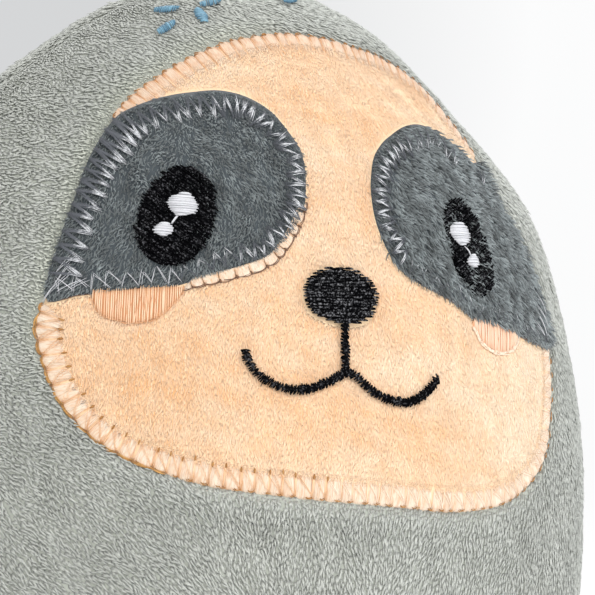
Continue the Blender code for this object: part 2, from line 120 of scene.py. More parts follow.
class Recipe:
    """A material's nodes, added one at a time around one Principled BSDF."""

    def __init__(self, name: str) -> None:
        """Starts a material with nothing but its shader and its output.

        Args:
            name: the material's name.
        """
        self.material = bpy.data.materials.new(name)
        self.material.use_nodes = True
        self.tree = self.material.node_tree
        self.shader = self.tree.nodes["Principled BSDF"]

    def node(self, kind: str, settings: dict[str, object], sockets: dict[object, object],
             output: object = 0) -> Link:
        """Adds a node.

        Args:
            kind: the node's type.
            settings: its settings, set before its sockets.
            sockets: values or links for its inputs, by name or number.
            output: the output that is wanted.

        Returns:
            The link that leaves the node.
        """
        made = self.tree.nodes.new(kind)
        for key, value in settings.items():
            setattr(made, key, value)
        for key, value in sockets.items():
            if isinstance(value, Link):
                self.tree.links.new(value.socket, made.inputs[key])
            else:
                made.inputs[key].default_value = value
        return Link(self, made.outputs[output])

    def attribute(self, name: str) -> Link:
        """Reads a number that each point of the mesh carries."""
        return self.node("ShaderNodeAttribute", {"attribute_name": name}, {}, "Fac")

    def place(self, stretch: tuple[float, float, float] = (1, 1, 1)) -> Link:
        """The place on the object, stretched along its axes."""
        at = self.node("ShaderNodeTexCoord", {}, {}, "Object")
        return self.node("ShaderNodeMapping", {}, {"Vector": at, "Scale": stretch})

    def noise(self, scale: float, detail: float = 2.0, place: Link | None = None) -> Link:
        """Soft random variation, from 0 to 1, at so many waves a metre."""
        sockets = {"Vector": place or self.place(), "Scale": scale, "Detail": detail}
        return self.node("ShaderNodeTexNoise", {}, sockets, "Fac")

    def between(self, factor: Link, low: object, high: object) -> Link:
        """Mixes two colours, each a Link or a Colour.

        Args:
            factor: the second one's share.
            low: the first colour.
            high: the second colour.

        Returns:
            The mixed colour.
        """
        tones = [tone if isinstance(tone, Link) else (*tone, 1.0) for tone in (low, high)]
        return self.node("ShaderNodeMix", {"data_type": "RGBA"},
                         {"Factor": factor, 6: tones[0], 7: tones[1]}, 2)

    def shade(self, tone: Link, factor: Link) -> Link:
        """Multiplies a colour by a number.

        Args:
            tone: the colour.
            factor: the number.

        Returns:
            The colour, lighter or darker.
        """
        grey = self.node("ShaderNodeCombineColor", {}, {0: factor, 1: factor, 2: factor})
        return self.node("ShaderNodeMix", {"data_type": "RGBA", "blend_type": "MULTIPLY"},
                         {"Factor": 1.0, 6: tone, 7: grey}, 2)

    def bump(self, height: Link, strength: float, distance: float) -> None:
        """Feeds a height to the shader's normal.

        Args:
            height: the height.
            strength: how much of it counts.
            distance: how high a height of 1 stands.
        """
        normal = self.node("ShaderNodeBump", {},
                           {"Height": height, "Strength": strength, "Distance": distance})
        self.tree.links.new(normal.socket, self.shader.inputs["Normal"])

    def finish(self, tone: Link, roughness: Link, **constants: object) -> bpy.types.Material:
        """Feeds the shader and sets what is the same all over.

        Args:
            tone: the base colour.
            roughness: the roughness.
            constants: values of the shader's own sockets, with _ for a space.

        Returns:
            The finished material.
        """
        self.tree.links.new(tone.socket, self.shader.inputs["Base Color"])
        self.tree.links.new(roughness.socket, self.shader.inputs["Roughness"])
        for key, value in constants.items():
            self.shader.inputs[key.replace("_", " ")].default_value = value
        return self.material


@dataclass(frozen=True)
class Finish:
    """A finish that is made once and then worn by many pieces."""

    name: str

    def brew(self) -> bpy.types.Material:
        """Builds the material."""
        raise NotImplementedError

    def wear(self, piece: bpy.types.Object) -> None:
        """Puts the finish on a piece."""
        piece.data.materials.append(bpy.data.materials.get(self.name) or self.brew())


@dataclass(frozen=True)
class PileFinish(Finish):
    """Plush fibres, each tuft a little unlike the next, darker at the root as painted shade deep in the
    pile.
    """

    root: Colour
    tip: Colour
    spread: float = 0.16
    sheen: float = 0.25
    coarse: float = 90.0
    fine: float = 2600.0
    warm: Colour = (0.0, 0.0, 0.0)
    uneven: float = 1.0
    relief: float = 0.35

    def brew(self) -> bpy.types.Material:
        """Builds the fibres' material.

        Returns:
            The material.
        """
        recipe = Recipe(self.name)
        along = recipe.attribute("along")
        # Darker towards the root: painted shade deep in the pile.
        tone = recipe.between((along * 1.25).clamp(), self.root, self.tip)
        tone = recipe.between(recipe.attribute("warm"), tone, self.warm)
        patch = recipe.noise(self.coarse, 3.0) - 0.5
        fibre = recipe.noise(self.fine, 1.0) - 0.5
        tint = (recipe.attribute("tint") - 0.5) * self.spread
        # The shade trait carries painted shade, with random tone mixed in.
        level = recipe.attribute("shade") * (1.0 + tint + (patch * 0.14 + fibre * 0.16) * self.uneven)
        recipe.bump(recipe.noise(self.fine * 1.5, 2.0), self.relief, 0.0002)
        return recipe.finish(recipe.shade(tone, level), 0.82 + fibre * 0.25,
                             Sheen_Weight=self.sheen, Sheen_Roughness=0.5,
                             Specular_IOR_Level=0.2)


@dataclass(frozen=True)
class ClothFinish(Finish):
    """The knitted ground that the pile stands on, with the pile's own soft mottling."""

    low: Colour
    high: Colour
    knit: float = 900.0

    def brew(self) -> bpy.types.Material:
        """Builds the cloth's material.

        Returns:
            The material.
        """
        recipe = Recipe(self.name)
        loops = recipe.noise(self.knit, 3.0, recipe.place((1.0, 1.0, 0.45)))
        mottle = recipe.noise(120.0, 3.0)
        tone = recipe.between((loops * 0.7 + mottle * 0.5 - 0.1).clamp(), self.low, self.high)
        recipe.bump(loops, 0.5, 0.0004)
        return recipe.finish(tone, 0.8 + mottle * 0.2, Sheen_Weight=0.2, Specular_IOR_Level=0.15)


@dataclass(frozen=True)
class PuffFinish(Finish):
    """Plush that thread draws in: pale where it puffs, with painted shade in its grooves and over its
    fibres, and a painted shadow in each hole.
    """

    puff: Colour
    groove_shade: Colour
    hole: Colour

    def brew(self) -> bpy.types.Material:
        """Builds the puffs' material.

        Returns:
            The material.
        """
        recipe = Recipe(self.name)
        run = recipe.node("ShaderNodeCombineXYZ", {}, {0: recipe.attribute("run") * 13.0,
                                                       1: recipe.attribute("across") * 2.2}, "Vector")
        fibre = recipe.noise(1.0, 2.0, run)
        mottle = recipe.noise(420.0, 3.0)
        # The groove colour is painted shade, in the grooves and over the fibres' mottling; the hole colour
        # is painted shadow.
        drawn = (recipe.attribute("groove_shade") + (fibre - 0.44) * 1.7 + (mottle - 0.42) * 1.1).clamp()
        tone = recipe.between(drawn, self.puff, self.groove_shade)
        tone = recipe.between((recipe.attribute("hole") + (fibre - 0.5) * 0.3).clamp(), tone, self.hole)
        recipe.bump(fibre, 0.8, 0.0006)
        return recipe.finish(tone, 0.75 + fibre * 0.2, Sheen_Weight=0.3, Specular_IOR_Level=0.2)


@dataclass(frozen=True)
class ThreadFinish(Finish):
    """Twisted embroidery thread, its satin gleam painted into its colour as highlights at each strand's
    crest and in specks along its twist.
    """

    base: Colour
    pale_and_highlight: Colour
    rough: float = 0.42
    gloss: float = 0.5
    contrast: float = 1.0
    dim: float = 0.0
    painted_gleam: float = 0.4
    speckled_highlight: float = 0.7

    def brew(self) -> bpy.types.Material:
        """Builds the thread's material.

        Returns:
            The material.
        """
        recipe = Recipe(self.name)
        twist = recipe.noise(2400.0, 2.0)
        tint = recipe.attribute("tint") - 0.5
        # Painted highlight: paler towards each strand's crest and in specks along its twist; the tint is
        # each strand's own tone.
        glance = (recipe.attribute("along") - 0.63) * self.painted_gleam + tint * 0.5 + (twist - 0.5) * self.speckled_highlight
        tone = recipe.between((glance * self.contrast + 0.5 - self.dim).clamp(), self.base, self.pale_and_highlight)
        recipe.bump(twist, 0.5, 0.0002)
        return recipe.finish(tone, self.rough + twist * 0.25, Sheen_Weight=self.gloss * 0.2,
                             Specular_IOR_Level=self.gloss)


@dataclass(frozen=True)
class StudioFinish(Finish):
    """The studio's paper: pale to the camera, and never brighter than white."""

    grey: Colour
    pale: Colour
    painted_shade_place: tuple[float, float, float] = (1.5, 4.6, 0.55)
    painted_shade_reach: tuple[float, float] = (0.25, 0.95)

    def brew(self) -> bpy.types.Material:
        """Builds the paper's material, with one soft grey patch of painted shade far behind the toy.

        Returns:
            The material.
        """
        recipe = Recipe(self.name)
        place = recipe.node("ShaderNodeTexCoord", {}, {}, "Object")
        apart = recipe.node("ShaderNodeVectorMath", {"operation": "DISTANCE"},
                            {0: place, 1: self.painted_shade_place}, "Value")
        lift = recipe.node("ShaderNodeMapRange", {},
                           {"Value": apart, 1: self.painted_shade_reach[0], 2: self.painted_shade_reach[1]})
        tone = recipe.between(lift, self.grey, self.pale)
        recipe.finish(tone, recipe.noise(40.0) * 0.1 + 0.85, Specular_IOR_Level=0.0)
        glow = recipe.node("ShaderNodeEmission", {}, {"Color": tone, "Strength": 1.0})
        path = recipe.tree.nodes.new("ShaderNodeLightPath")
        seen = Link(recipe, path.outputs["Is Camera Ray"]) * 0.8
        lit = Link(recipe, recipe.shader.outputs[0])
        mixed = recipe.node("ShaderNodeMixShader", {}, {0: seen, 1: lit, 2: glow})
        recipe.tree.links.new(mixed.socket, recipe.tree.nodes["Material Output"].inputs["Surface"])
        return recipe.material


GREY_PILE = PileFinish("grey_pile_fibres", colour("ADAFA8"), colour("CFD1CA"), 0.12,
                       warm=colour("DDE0D0"))
GREY_CLOTH = ClothFinish("grey_pile_ground", colour("9EA198"), colour("BBBEB4"))
# The nap's warm colour serves both its own tan and the painted shade of the border's grooves and holes.
PEACH_NAP = PileFinish("peach_nap_fibres", colour("FDE0BD"), colour("FFEAD2"), 0.03, 0.2,
                       coarse=60.0, warm=colour("F2B172"), uneven=0.3, relief=0.12)
# The face's ground is the nap's usual colour, a little darker: painted shade of the nap that covers it.
PEACH_CLOTH = ClothFinish("peach_nap_ground", colour("F3CFA6"), colour("F8DAB6"))
DARK_PILE = PileFinish("dark_pile_fibres", colour("464B4E"), colour("8A9192"), 0.6)
DARK_CLOTH = ClothFinish("dark_pile_ground", colour("3E4448"), colour("555C60"))
CREAM_PILE = PileFinish("cream_pile_fibres", colour("DDCBA8"), colour("F6EAD2"), 0.12)
CREAM_CLOTH = ClothFinish("cream_pile_ground", colour("D6C29C"), colour("E8D8B8"))
# The groove and hole colours of the border's puffs are painted shade and painted shadow.
PEACH_PUFFS = PuffFinish("peach_border_puffs", colour("F0DCC6"), colour("DFA470"), colour("8A4E28"))
TOP_PUFFS = PuffFinish("top_border_puffs", colour("EED2B8"), colour("D9955C"), colour("8A4E28"))
PEACH_THREAD = ThreadFinish("peach_border_thread", colour("D9985A"), colour("FAE0C2"), 0.4)
GOLD_THREAD = ThreadFinish("gold_border_thread", colour("8A5A28"), colour("DDA962"), 0.5)
BROWN_THREAD = ThreadFinish("brown_edge_thread", colour("4A3226"), colour("8A6246"), 0.5)
HOLE_THREAD = ThreadFinish("brown_hole_thread", colour("94602F"), colour("C39560"), 0.6, 0.1)
# The black threads have no shader gloss; their pale specks are painted highlights.
BLACK_THREAD = ThreadFinish("black_embroidery", colour("0A0A0C"), colour("6A6A6E"), 0.6, 0.0,
                            dim=0.72, painted_gleam=0.2, speckled_highlight=4.0)
NOSE_THREAD = replace(BLACK_THREAD, name="nose_thread", base=colour("0C0C0E"), pale_and_highlight=colour("8C8C90"),
                      dim=0.55)
WHITE_THREAD = ThreadFinish("white_embroidery", colour("C2C2C6"), colour("E2E2E6"), 0.4)
# The silver thread's shine is painted: pale highlights near each leg's crest over a dark base.
SILVER_THREAD = ThreadFinish("silver_embroidery", colour("5A5D63"), colour("E6E7EA"), 0.35, 0.3,
                             contrast=2.6, dim=0.56, painted_gleam=0.8)
BLUSH_THREAD = ThreadFinish("blush_embroidery", colour("EFC39C"), colour("F8D8B8"), 0.5, 0.2)
BLUSH_GROUND = ThreadFinish("blush_ground", colour("CE946A"), colour("E0B088"), 0.6, 0.2)
PALE_BLUSH_THREAD = ThreadFinish("pale_blush_thread", colour("F4CCAE"), colour("F8DAC2"), 0.5, 0.2)
PALE_BLUSH_GROUND = ThreadFinish("pale_blush_ground", colour("ECB690"), colour("F0C2A0"), 0.6, 0.2)
WHITE_PEACH_THREAD = ThreadFinish("pale_rim_thread", colour("F8DCC0"), colour("FCEAD6"), 0.5)
BLUE_THREAD = ThreadFinish("blue_thread", colour("34617D"), colour("86B4CA"), 0.4)
# The paper's grey is painted shade, far behind the toy.
BACKDROP = StudioFinish("studio_paper", colour("D8D9DA"), colour("FFFFFF"))


def smooth_line(points: Line, steps: int = 6, closed: bool = False) -> Array:
    """Draws a smooth curve through points.

    Args:
        points: the points that it passes through.
        steps: pieces between two points.
        closed: whether it comes back to its first point.

    Returns:
        The curve's points, one row each.
    """
    own = np.array(points, float)
    if closed:
        around = np.vstack([own[-1:], own, own[:2]])
    else:
        around = np.vstack([2 * own[:1] - own[1:2], own, 2 * own[-1:] - own[-2:-1]])
    t = (np.arange(steps) / steps)[:, None]
    runs = []
    for a, b, c, d in zip(around, around[1:], around[2:], around[3:]):
        runs.append(0.5 * (2 * b + (c - a) * t + (2 * a - 5 * b + 4 * c - d) * t ** 2
                           + (3 * b - a - 3 * c + d) * t ** 3))
    return np.vstack(runs if closed else [*runs, own[-1:]])


def held(values: Array | float) -> Array:
    """Holds numbers between 0 and 1."""
    return np.clip(values, 0, 1)


def fade_in(values: Array | float, start: float, span: float) -> Array:
    """How far values have risen from a start over a span, from 0 to 1."""
    return held((values - start) / span)


def run_along(line: Array) -> Array:
    """The distance along a line to each of its points."""
    return np.concatenate([[0], np.cumsum(np.linalg.norm(np.diff(line, axis=0), axis=1))])


def walk(line: Array, step: float, closed: bool = False) -> tuple[Array, Array]:
    """Walks along a line in even steps.

    Args:
        line: its points.
        step: the step wanted; the real one divides the line evenly.
        closed: whether the line is a loop.

    Returns:
        The places, and the unit direction of travel at each.
    """
    path = np.vstack([line, line[:1]]) if closed else line
    run = run_along(path)
    count = max(int(round(run[-1] / step)), 2)
    along = np.linspace(0, run[-1], count + 1)[:count if closed else None]
    near = run[-1] / count / 4

    def read(where: Array) -> Array:
        """The line's place at a distance along it."""
        where = where % run[-1] if closed else np.clip(where, 0, run[-1])
        return np.stack([np.interp(where, run, path[:, k]) for k in range(path.shape[1])], axis=1)

    return read(along), unit(read(along + near) - read(along - near))


def unit(vectors: Array) -> Array:
    """Scales each row to a length of one."""
    return vectors / np.maximum(np.linalg.norm(vectors, axis=-1, keepdims=True), 1e-12)


def ripple(places: Array, size: float, seed: int, waves: int = 8) -> Array:
    """Gives soft lumps that have no pattern, the same on each run.

    Args:
        places: the points, one row each.
        size: the lumps' usual width.
        seed: which lumps.
        waves: how many waves are laid over each other.

    Returns:
        A height for each point, about -1 to 1.
    """
    rng = np.random.default_rng(seed)
    heading = unit(rng.normal(size=(waves, places.shape[1])))
    pace = 2 * np.pi / size * rng.uniform(0.5, 1.1, (waves, 1))
    return np.sin(places @ (heading * pace).T + rng.uniform(0, 2 * np.pi, waves)).sum(1) / waves ** 0.5


def edge_distance(places: Array, outline: Array) -> Array:
    """Measures how far points lie inside a closed outline.

    Args:
        places: the points, one row each.
        outline: the outline's points.

    Returns:
        The distance to the outline, above zero inside it and below zero outside.
    """
    start, stop = outline, np.roll(outline, -1, axis=0)
    span = stop - start
    found = []
    for block in np.array_split(places, len(places) // 8000 + 1):
        off = block[:, None] - start
        share = held((off * span).sum(2) / (span ** 2).sum(1))
        gap = np.linalg.norm(off - share[:, :, None] * span, axis=2).min(1)
        over = (start[:, 1] > block[:, 1:]) != (stop[:, 1] > block[:, 1:])
        rise = np.where(span[:, 1] == 0, 1, span[:, 1])
        cross = start[:, 0] + (block[:, 1:] - start[:, 1]) * span[:, 0] / rise
        inside = (over & (block[:, :1] < cross)).sum(1) % 2 == 1
        found.append(np.where(inside, gap, -gap))
    return np.concatenate(found)


@dataclass
class Spots:
    """Places on a form, with the directions that a maker works by there."""

    point: Array
    normal: Array
    around: Array
    up: Array

    def __getitem__(self, kept: Array) -> "Spots":
        """The spots that a mask or an order picks."""
        return Spots(self.point[kept], self.normal[kept], self.around[kept], self.up[kept])

    def raised(self, level: Array | float) -> Array:
        """The places at a level over the surface."""
        return self.point + self.normal * np.broadcast_to(level, len(self.point))[:, None]

    def heading(self, degrees: Array) -> Array:
        """A direction on the surface, turned from around towards down."""
        turn = np.radians(np.broadcast_to(degrees, len(self.point)))[:, None]
        return self.around * np.cos(turn) - self.up * np.sin(turn)


def make_piece(name: str, points: Array, faces: Array, finish: Finish, body: str,
               traits: dict[str, Array] | None = None, cells: Array | None = None) -> bpy.types.Object:
    """Makes one piece of the toy from its points and faces.

    Args:
        name: the piece's name.
        points: its points, one row each.
        faces: its faces, all with as many corners.
        finish: what it is made of.
        body: the body that it moves with.
        traits: numbers that its points carry for the finish.
        cells: each face corner's place on the bake's map.

    Returns:
        The piece.
    """
    points = points.copy()
    points[:, 2] = np.maximum(points[:, 2], RESTING)
    mesh = bpy.data.meshes.new(name)
    mesh.vertices.add(len(points))
    mesh.vertices.foreach_set("co", points.ravel())
    mesh.loops.add(faces.size)
    mesh.loops.foreach_set("vertex_index", faces.ravel().astype(np.int32))
    mesh.polygons.add(len(faces))
    mesh.polygons.foreach_set("loop_start", np.arange(0, faces.size, faces.shape[1], dtype=np.int32))
    mesh.update(calc_edges=True)
    for trait, values in (traits or {}).items():
        layer = mesh.attributes.new(trait, "FLOAT", "POINT")
        layer.data.foreach_set("value", np.ascontiguousarray(values, np.float32))
    if cells is not None:
        layer = mesh.uv_layers.new(name="OFBake")
        layer.data.foreach_set("uv", np.ascontiguousarray(cells, np.float32).ravel())
    mesh.shade_smooth()
    piece = bpy.data.objects.new(name, mesh)
    bpy.context.scene.collection.objects.link(piece)
    finish.wear(piece)
    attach(piece, body)
    LOG.info("%s: %d faces on %s", name, len(faces), body)
    return piece


def thicken(piece: bpy.types.Object, thickness: float) -> None:
    """Gives a sheet its thickness, inwards.

    Args:
        piece: the sheet.
        thickness: how thick it becomes.
    """
    modifier = piece.modifiers.new("thickness", "SOLIDIFY")
    modifier.thickness = thickness
    modifier.offset = -1.0


def grid_faces(shape: tuple[int, int], closed: bool = False) -> Array:
    """Joins a grid of points with four-sided faces.

    Args:
        shape: how many rows and columns of points it has.
        closed: whether each row comes back to its first point.

    Returns:
        The faces, one row each.
    """
    index = np.arange(shape[0] * shape[1]).reshape(shape)
    beside = np.roll(index, -1, axis=1)
    if not closed:
        index, beside = index[:, :-1], beside[:, :-1]
    return np.stack([index[:-1], beside[:-1], beside[1:], index[1:]], axis=-1).reshape(-1, 4)


def map_cells(count: int, corners: Array) -> Array:
    """Lays out the bake's map with a cell for each repeat of a shape.

    Args:
        count: how many repeats.
        corners: the places of one repeat's face corners in its own cell.

    Returns:
        The places of all face corners.
    """
    rows = math.ceil(math.sqrt(count))
    cell = np.stack([np.arange(count) % rows, np.arange(count) // rows], axis=1)
    return ((cell[:, None] + corners[None]) / rows).reshape(-1, 2)


@dataclass(frozen=True)
class Pile:
    """How a plush pile stands: its tufts' size, lean and disorder."""

    finish: PileFinish
    step: float = 0.82 * MM
    length: float = 2.4 * MM
    width: float = 0.66 * MM
    height: float = 0.20 * MM
    lean: float = 12.0
    disorder: float = 18.0
    sunk: float = 0.65 * MM
    seed: int = 5
    swirl: float = 9.0

    def plant(self, name: str, spots: Spots, flow: Array, body: str, level: Array | float = 0.0,
              shade: Array | float = 1.0, warm: Array | float = 0.0,
              cropped: Array | float = 1.0, climb: Array | float = 0.0,
              stir: Array | float = 1.0) -> bpy.types.Object:
        """Plants a tuft at each spot.

        Args:
            name: the piece's name.
            spots: the tufts' roots, on the pile's surface.
            flow: the way that the pile runs at each, in degrees.
            body: the body that it moves with.
            level: how far the surface stands off the form.
            shade: each tuft's lightness, painted shade included.
            warm: how far each is mixed towards the finish's warm colour: painted shade in the face border's
                grooves and holes, the nap's own tan, the grey's paler rim.
            cropped: the share of the usual length that each has.
            climb: how much higher the surface stands under each one's tip.
            stir: how lively each one stands, below 1 where the pile lies flatter.

        Returns:
            The pile, one closed tuft at each root.
        """
        rng = np.random.default_rng(self.seed)
        count = len(spots.point)
        swirl = ripple(spots.point, 9 * MM, self.seed) + 0.8 * ripple(spots.point, 3.5 * MM, 7)
        ahead = spots.heading(flow + self.swirl * swirl + rng.normal(0, self.disorder, count) * stir)
        aside = np.cross(spots.normal, ahead)
        unrest = rng.normal(0, 0.5, count) + 0.43 * ripple(spots.point, 6 * MM, 3)
        lean = np.radians(self.lean * (1 + unrest) * stir)
        length = self.length * cropped * rng.uniform(0.7, 1.2, count)
        half = (self.width / 2 * rng.uniform(0.7, 1.25, count))[:, None]
        root = spots.raised(np.broadcast_to(level, count) - self.sunk)
        reach = (length * np.cos(lean))[:, None] * ahead
        rise = (length * np.sin(lean))[:, None] * spots.normal
        climb = np.broadcast_to(climb, count)[:, None] * spots.normal
        height = spots.normal * (self.height * np.broadcast_to(stir, count))[:, None]
        ridge = root + reach * 0.45 + rise * 0.62 + climb * 0.45 + height
        tip = root + reach + rise * rng.uniform(0.75, 1.05, count)[:, None] + climb
        corners = np.stack([root + aside * half, root - aside * half, ridge, tip], axis=1)
        shape = np.array([[0, 3, 1], [0, 1, 2], [0, 2, 3], [2, 1, 3]])
        cell = np.array([[0.08, 0.06], [0.92, 0.06], [0.5, 0.5], [0.5, 0.94]])
        faces = (np.arange(count)[:, None, None] * 4 + shape).reshape(-1, 3)
        traits = {
            "along": np.tile([0.0, 0.0, 0.72, 1.0], count),
            "tint": np.repeat(rng.uniform(0, 1, count), 4),
            "shade": np.repeat(np.broadcast_to(shade, count), 4),
            "warm": np.repeat(np.broadcast_to(warm, count), 4),
        }
        cells = map_cells(count, cell[shape].reshape(-1, 2))
        return make_piece(name, corners.reshape(-1, 3), faces, self.finish, body, traits, cells)


@dataclass(frozen=True)
class Thread:
    """A thread, or a filament of one, as thick as it is pulled."""

    finish: ThreadFinish
    radius: float = 0.28 * MM
    taper: float = 0.55
    seed: int = 11
    crest: float = 0.5

    def lay(self, name: str, paths: Array, normals: Array, body: str) -> bpy.types.Object:
        """Lays a closed thread along each path.

        Args:
            name: the piece's name.
            paths: the paths, each with as many points.
            normals: the surface's direction at each point.
            body: the body that it moves with.

        Returns:
            All the threads as one piece.
        """
        rng = np.random.default_rng(self.seed)
        count, rings = paths.shape[:2]
        tangent = unit(np.gradient(paths, axis=1))
        aside = unit(np.cross(tangent, normals))
        above = np.cross(aside, tangent)
        swell = 1 - (1 - self.taper) * np.abs(np.linspace(-1, 1, rings)) ** 3
        radius = self.radius * swell[None, :, None] * rng.uniform(0.85, 1.15, (count, 1, 1))
        turns = np.arange(4) * np.pi / 2 + np.pi / 4
        points = np.stack([paths + radius * (aside * math.cos(t) + above * math.sin(t)) for t in turns], 2)
        ring = np.arange(rings - 1)[:, None] * 4
        corner = np.arange(4)
        after = (corner + 1) % 4
        sides = np.stack([ring + corner, ring + after, ring + 4 + after, ring + 4 + corner], 2)
        last = (rings - 1) * 4
        shape = np.vstack([sides.reshape(-1, 4), [[3, 2, 1, 0]], [[last, last + 1, last + 2, last + 3]]])
        faces = (np.arange(count)[:, None, None] * rings * 4 + shape).reshape(-1, 4)
        here = np.linspace(0.05, 0.95, rings)
        cell = np.stack([np.tile([0.1, 0.4, 0.6, 0.9], rings), np.repeat(here, 4)], 1)
        # The along trait peaks at the crest, where the finish paints its highlight.
        off_crest = held(np.abs(np.linspace(0, 1, rings) - self.crest) * 2)
        traits = {
            "along": np.tile(np.repeat(1 - off_crest ** 1.5, 4), count),
            "tint": np.repeat(rng.uniform(0, 1, count), rings * 4),
        }
        cells = map_cells(count, cell[shape].reshape(-1, 2))
        return make_piece(name, points.reshape(-1, 3), faces, self.finish, body, traits, cells)


class Form:
    """A stuffed form that is turned from a profile, with a section of its own at each height."""

    profile: Array
    place: Matrix

    def section(self, radius: Array, height: Array, angle: Array) -> Array:
        """The section's points, in the form's own frame."""
        raise NotImplementedError

    @property
    def length(self) -> float:
        """The profile's length."""
        return float(np.linalg.norm(np.diff(self.profile, axis=0), axis=1).sum())

    def at(self, angle: Array, share: Array) -> Array:
        """Points on the form's surface.

        Args:
            angle: the bearing about the form's axis.
            share: the share of the profile's length, from its low end.

        Returns:
            The points, in the toy's frame.
        """
        run = run_along(self.profile)
        along = held(share) * run[-1]
        radius, height = (np.interp(along, run, self.profile[:, k]) for k in (0, 1))
        own = self.section(radius, height, angle)
        turn = np.array(self.place)
        return own @ turn[:3, :3].T + turn[:3, 3]

    def spots(self, angle: Array, share: Array) -> Spots:
        """Spots on the form's surface, with their directions.

        Args:
            angle: the bearing about the form's axis.
            share: the share of the profile's length.

        Returns:
            The spots.
        """
        near = 0.002
        share = np.clip(share, near, 1 - near)
        around = unit(self.at(angle + near, share) - self.at(angle - near, share))
        up = unit(self.at(angle, share + near) - self.at(angle, share - near))
        normal = unit(np.cross(around, up))
        return Spots(self.at(angle, share), normal, around, np.cross(normal, around))

    def scatter(self, step: float, seed: int) -> tuple[Array, Array]:
        """Spreads roots over the form.

        Args:
            step: the space between them.
            seed: which disorder they have.

        Returns:
            Each root's angle and share.
        """
        rng = np.random.default_rng(seed)
        rows = max(int(self.length / step), 3)
        turn = np.linspace(0, 2 * np.pi, 241)
        angles, shares = [], []
        for row in range(rows):
            share = (row + 0.5) / rows
            ring = self.at(turn, np.full_like(turn, share))
            run = run_along(ring)
            count = max(int(run[-1] / step), 3)
            where = (np.arange(count) + row % 2 / 2 + rng.uniform(-0.4, 0.4, count)) / count * run[-1]
            angles.append(np.interp(where % run[-1], run, turn))
            shares.append(share + rng.uniform(-0.4, 0.4, count) / rows)
        return np.concatenate(angles), np.concatenate(shares)

    def sheet(self, columns: int, rows: int, low: float = 0.0, high: float = 1.0,
              start: float = 0.0, stop: float = 2 * math.pi) -> tuple[Array, Array, Array]:
        """Lays a grid over the form or a part of it.

        Args:
            columns: faces around it.
            rows: faces from its low end to its high one.
            low: the share where it begins.
            high: the share where it ends.
            start: the angle where it begins.
            stop: the angle where it ends.

        Returns:
            The grid's angles, its shares and its faces.
        """
        closed = stop - start > 6.28
        turn = np.linspace(start, stop, columns + 1)[:columns if closed else None]
        angle, share = np.meshgrid(turn, np.linspace(low, high, rows + 1))
        return angle.ravel(), share.ravel(), grid_faces(angle.shape, closed)


FACE_LINE = (
    (-46.5, 228.5), (-41.5, 234), (-36, 238.5), (-30, 242.7), (-24, 246.3), (-16.5, 249.8),
    (-8, 252.3), (0.5, 253.7), (9.7, 253.7), (18.5, 252.5), (27, 251), (33.5, 249), (38.5, 247),
    (42.3, 244.3), (45.5, 240), (48.3, 236.3), (50.4, 232.5), (50.6, 229.5), (51.5, 222),
    (54.7, 216.5), (59, 211), (62.5, 205.5), (65, 199.5), (66.6, 193), (67.6, 187), (67.5, 181),
    (67, 175), (65.8, 169.5), (64.2, 163.5), (61.5, 158.5), (57.3, 154.8), (52, 151.6),
    (45.5, 149.3), (37.5, 148), (27, 147.5), (14, 148.0), (-12.5, 148.5), (-31, 149.3),
    (-44.5, 152), (-54.8, 156.6), (-62.3, 165.2), (-65.7, 177), (-65.5, 181.5), (-63.5, 187.5),
    (-60, 200.5), (-56, 211), (-52.5, 219),
)
# The height of the eye patches' lower edges
PATCH_FOOT = 0.19
FACE_TOP_ENDS = ((-47, 228), (50.6, 230))
FACE_BOTTOM_ENDS = ((67.6, 187), (-64.4, 185.6))
FLOW_SAMPLES = (
    (-85, 215, 2), (-92, 190, -3), (-97, 165, -4), (-97, 140, 6), (-75, 135, 32), (-85, 118, 26),
    (-62, 122, 36), (-50, 245, 14), (-20, 258, 32), (0, 260, 36), (30, 255, 50), (50, 240, 56),
    (62, 228, 60), (85, 205, 62), (92, 180, 70), (95, 150, 82), (0, 130, 86), (25, 132, 112),
    (45, 132, 114), (70, 128, 106), (-40, 100, 60), (40, 100, 100), (0, 60, 90), (-80, 70, 60),
    (80, 70, 95),
)


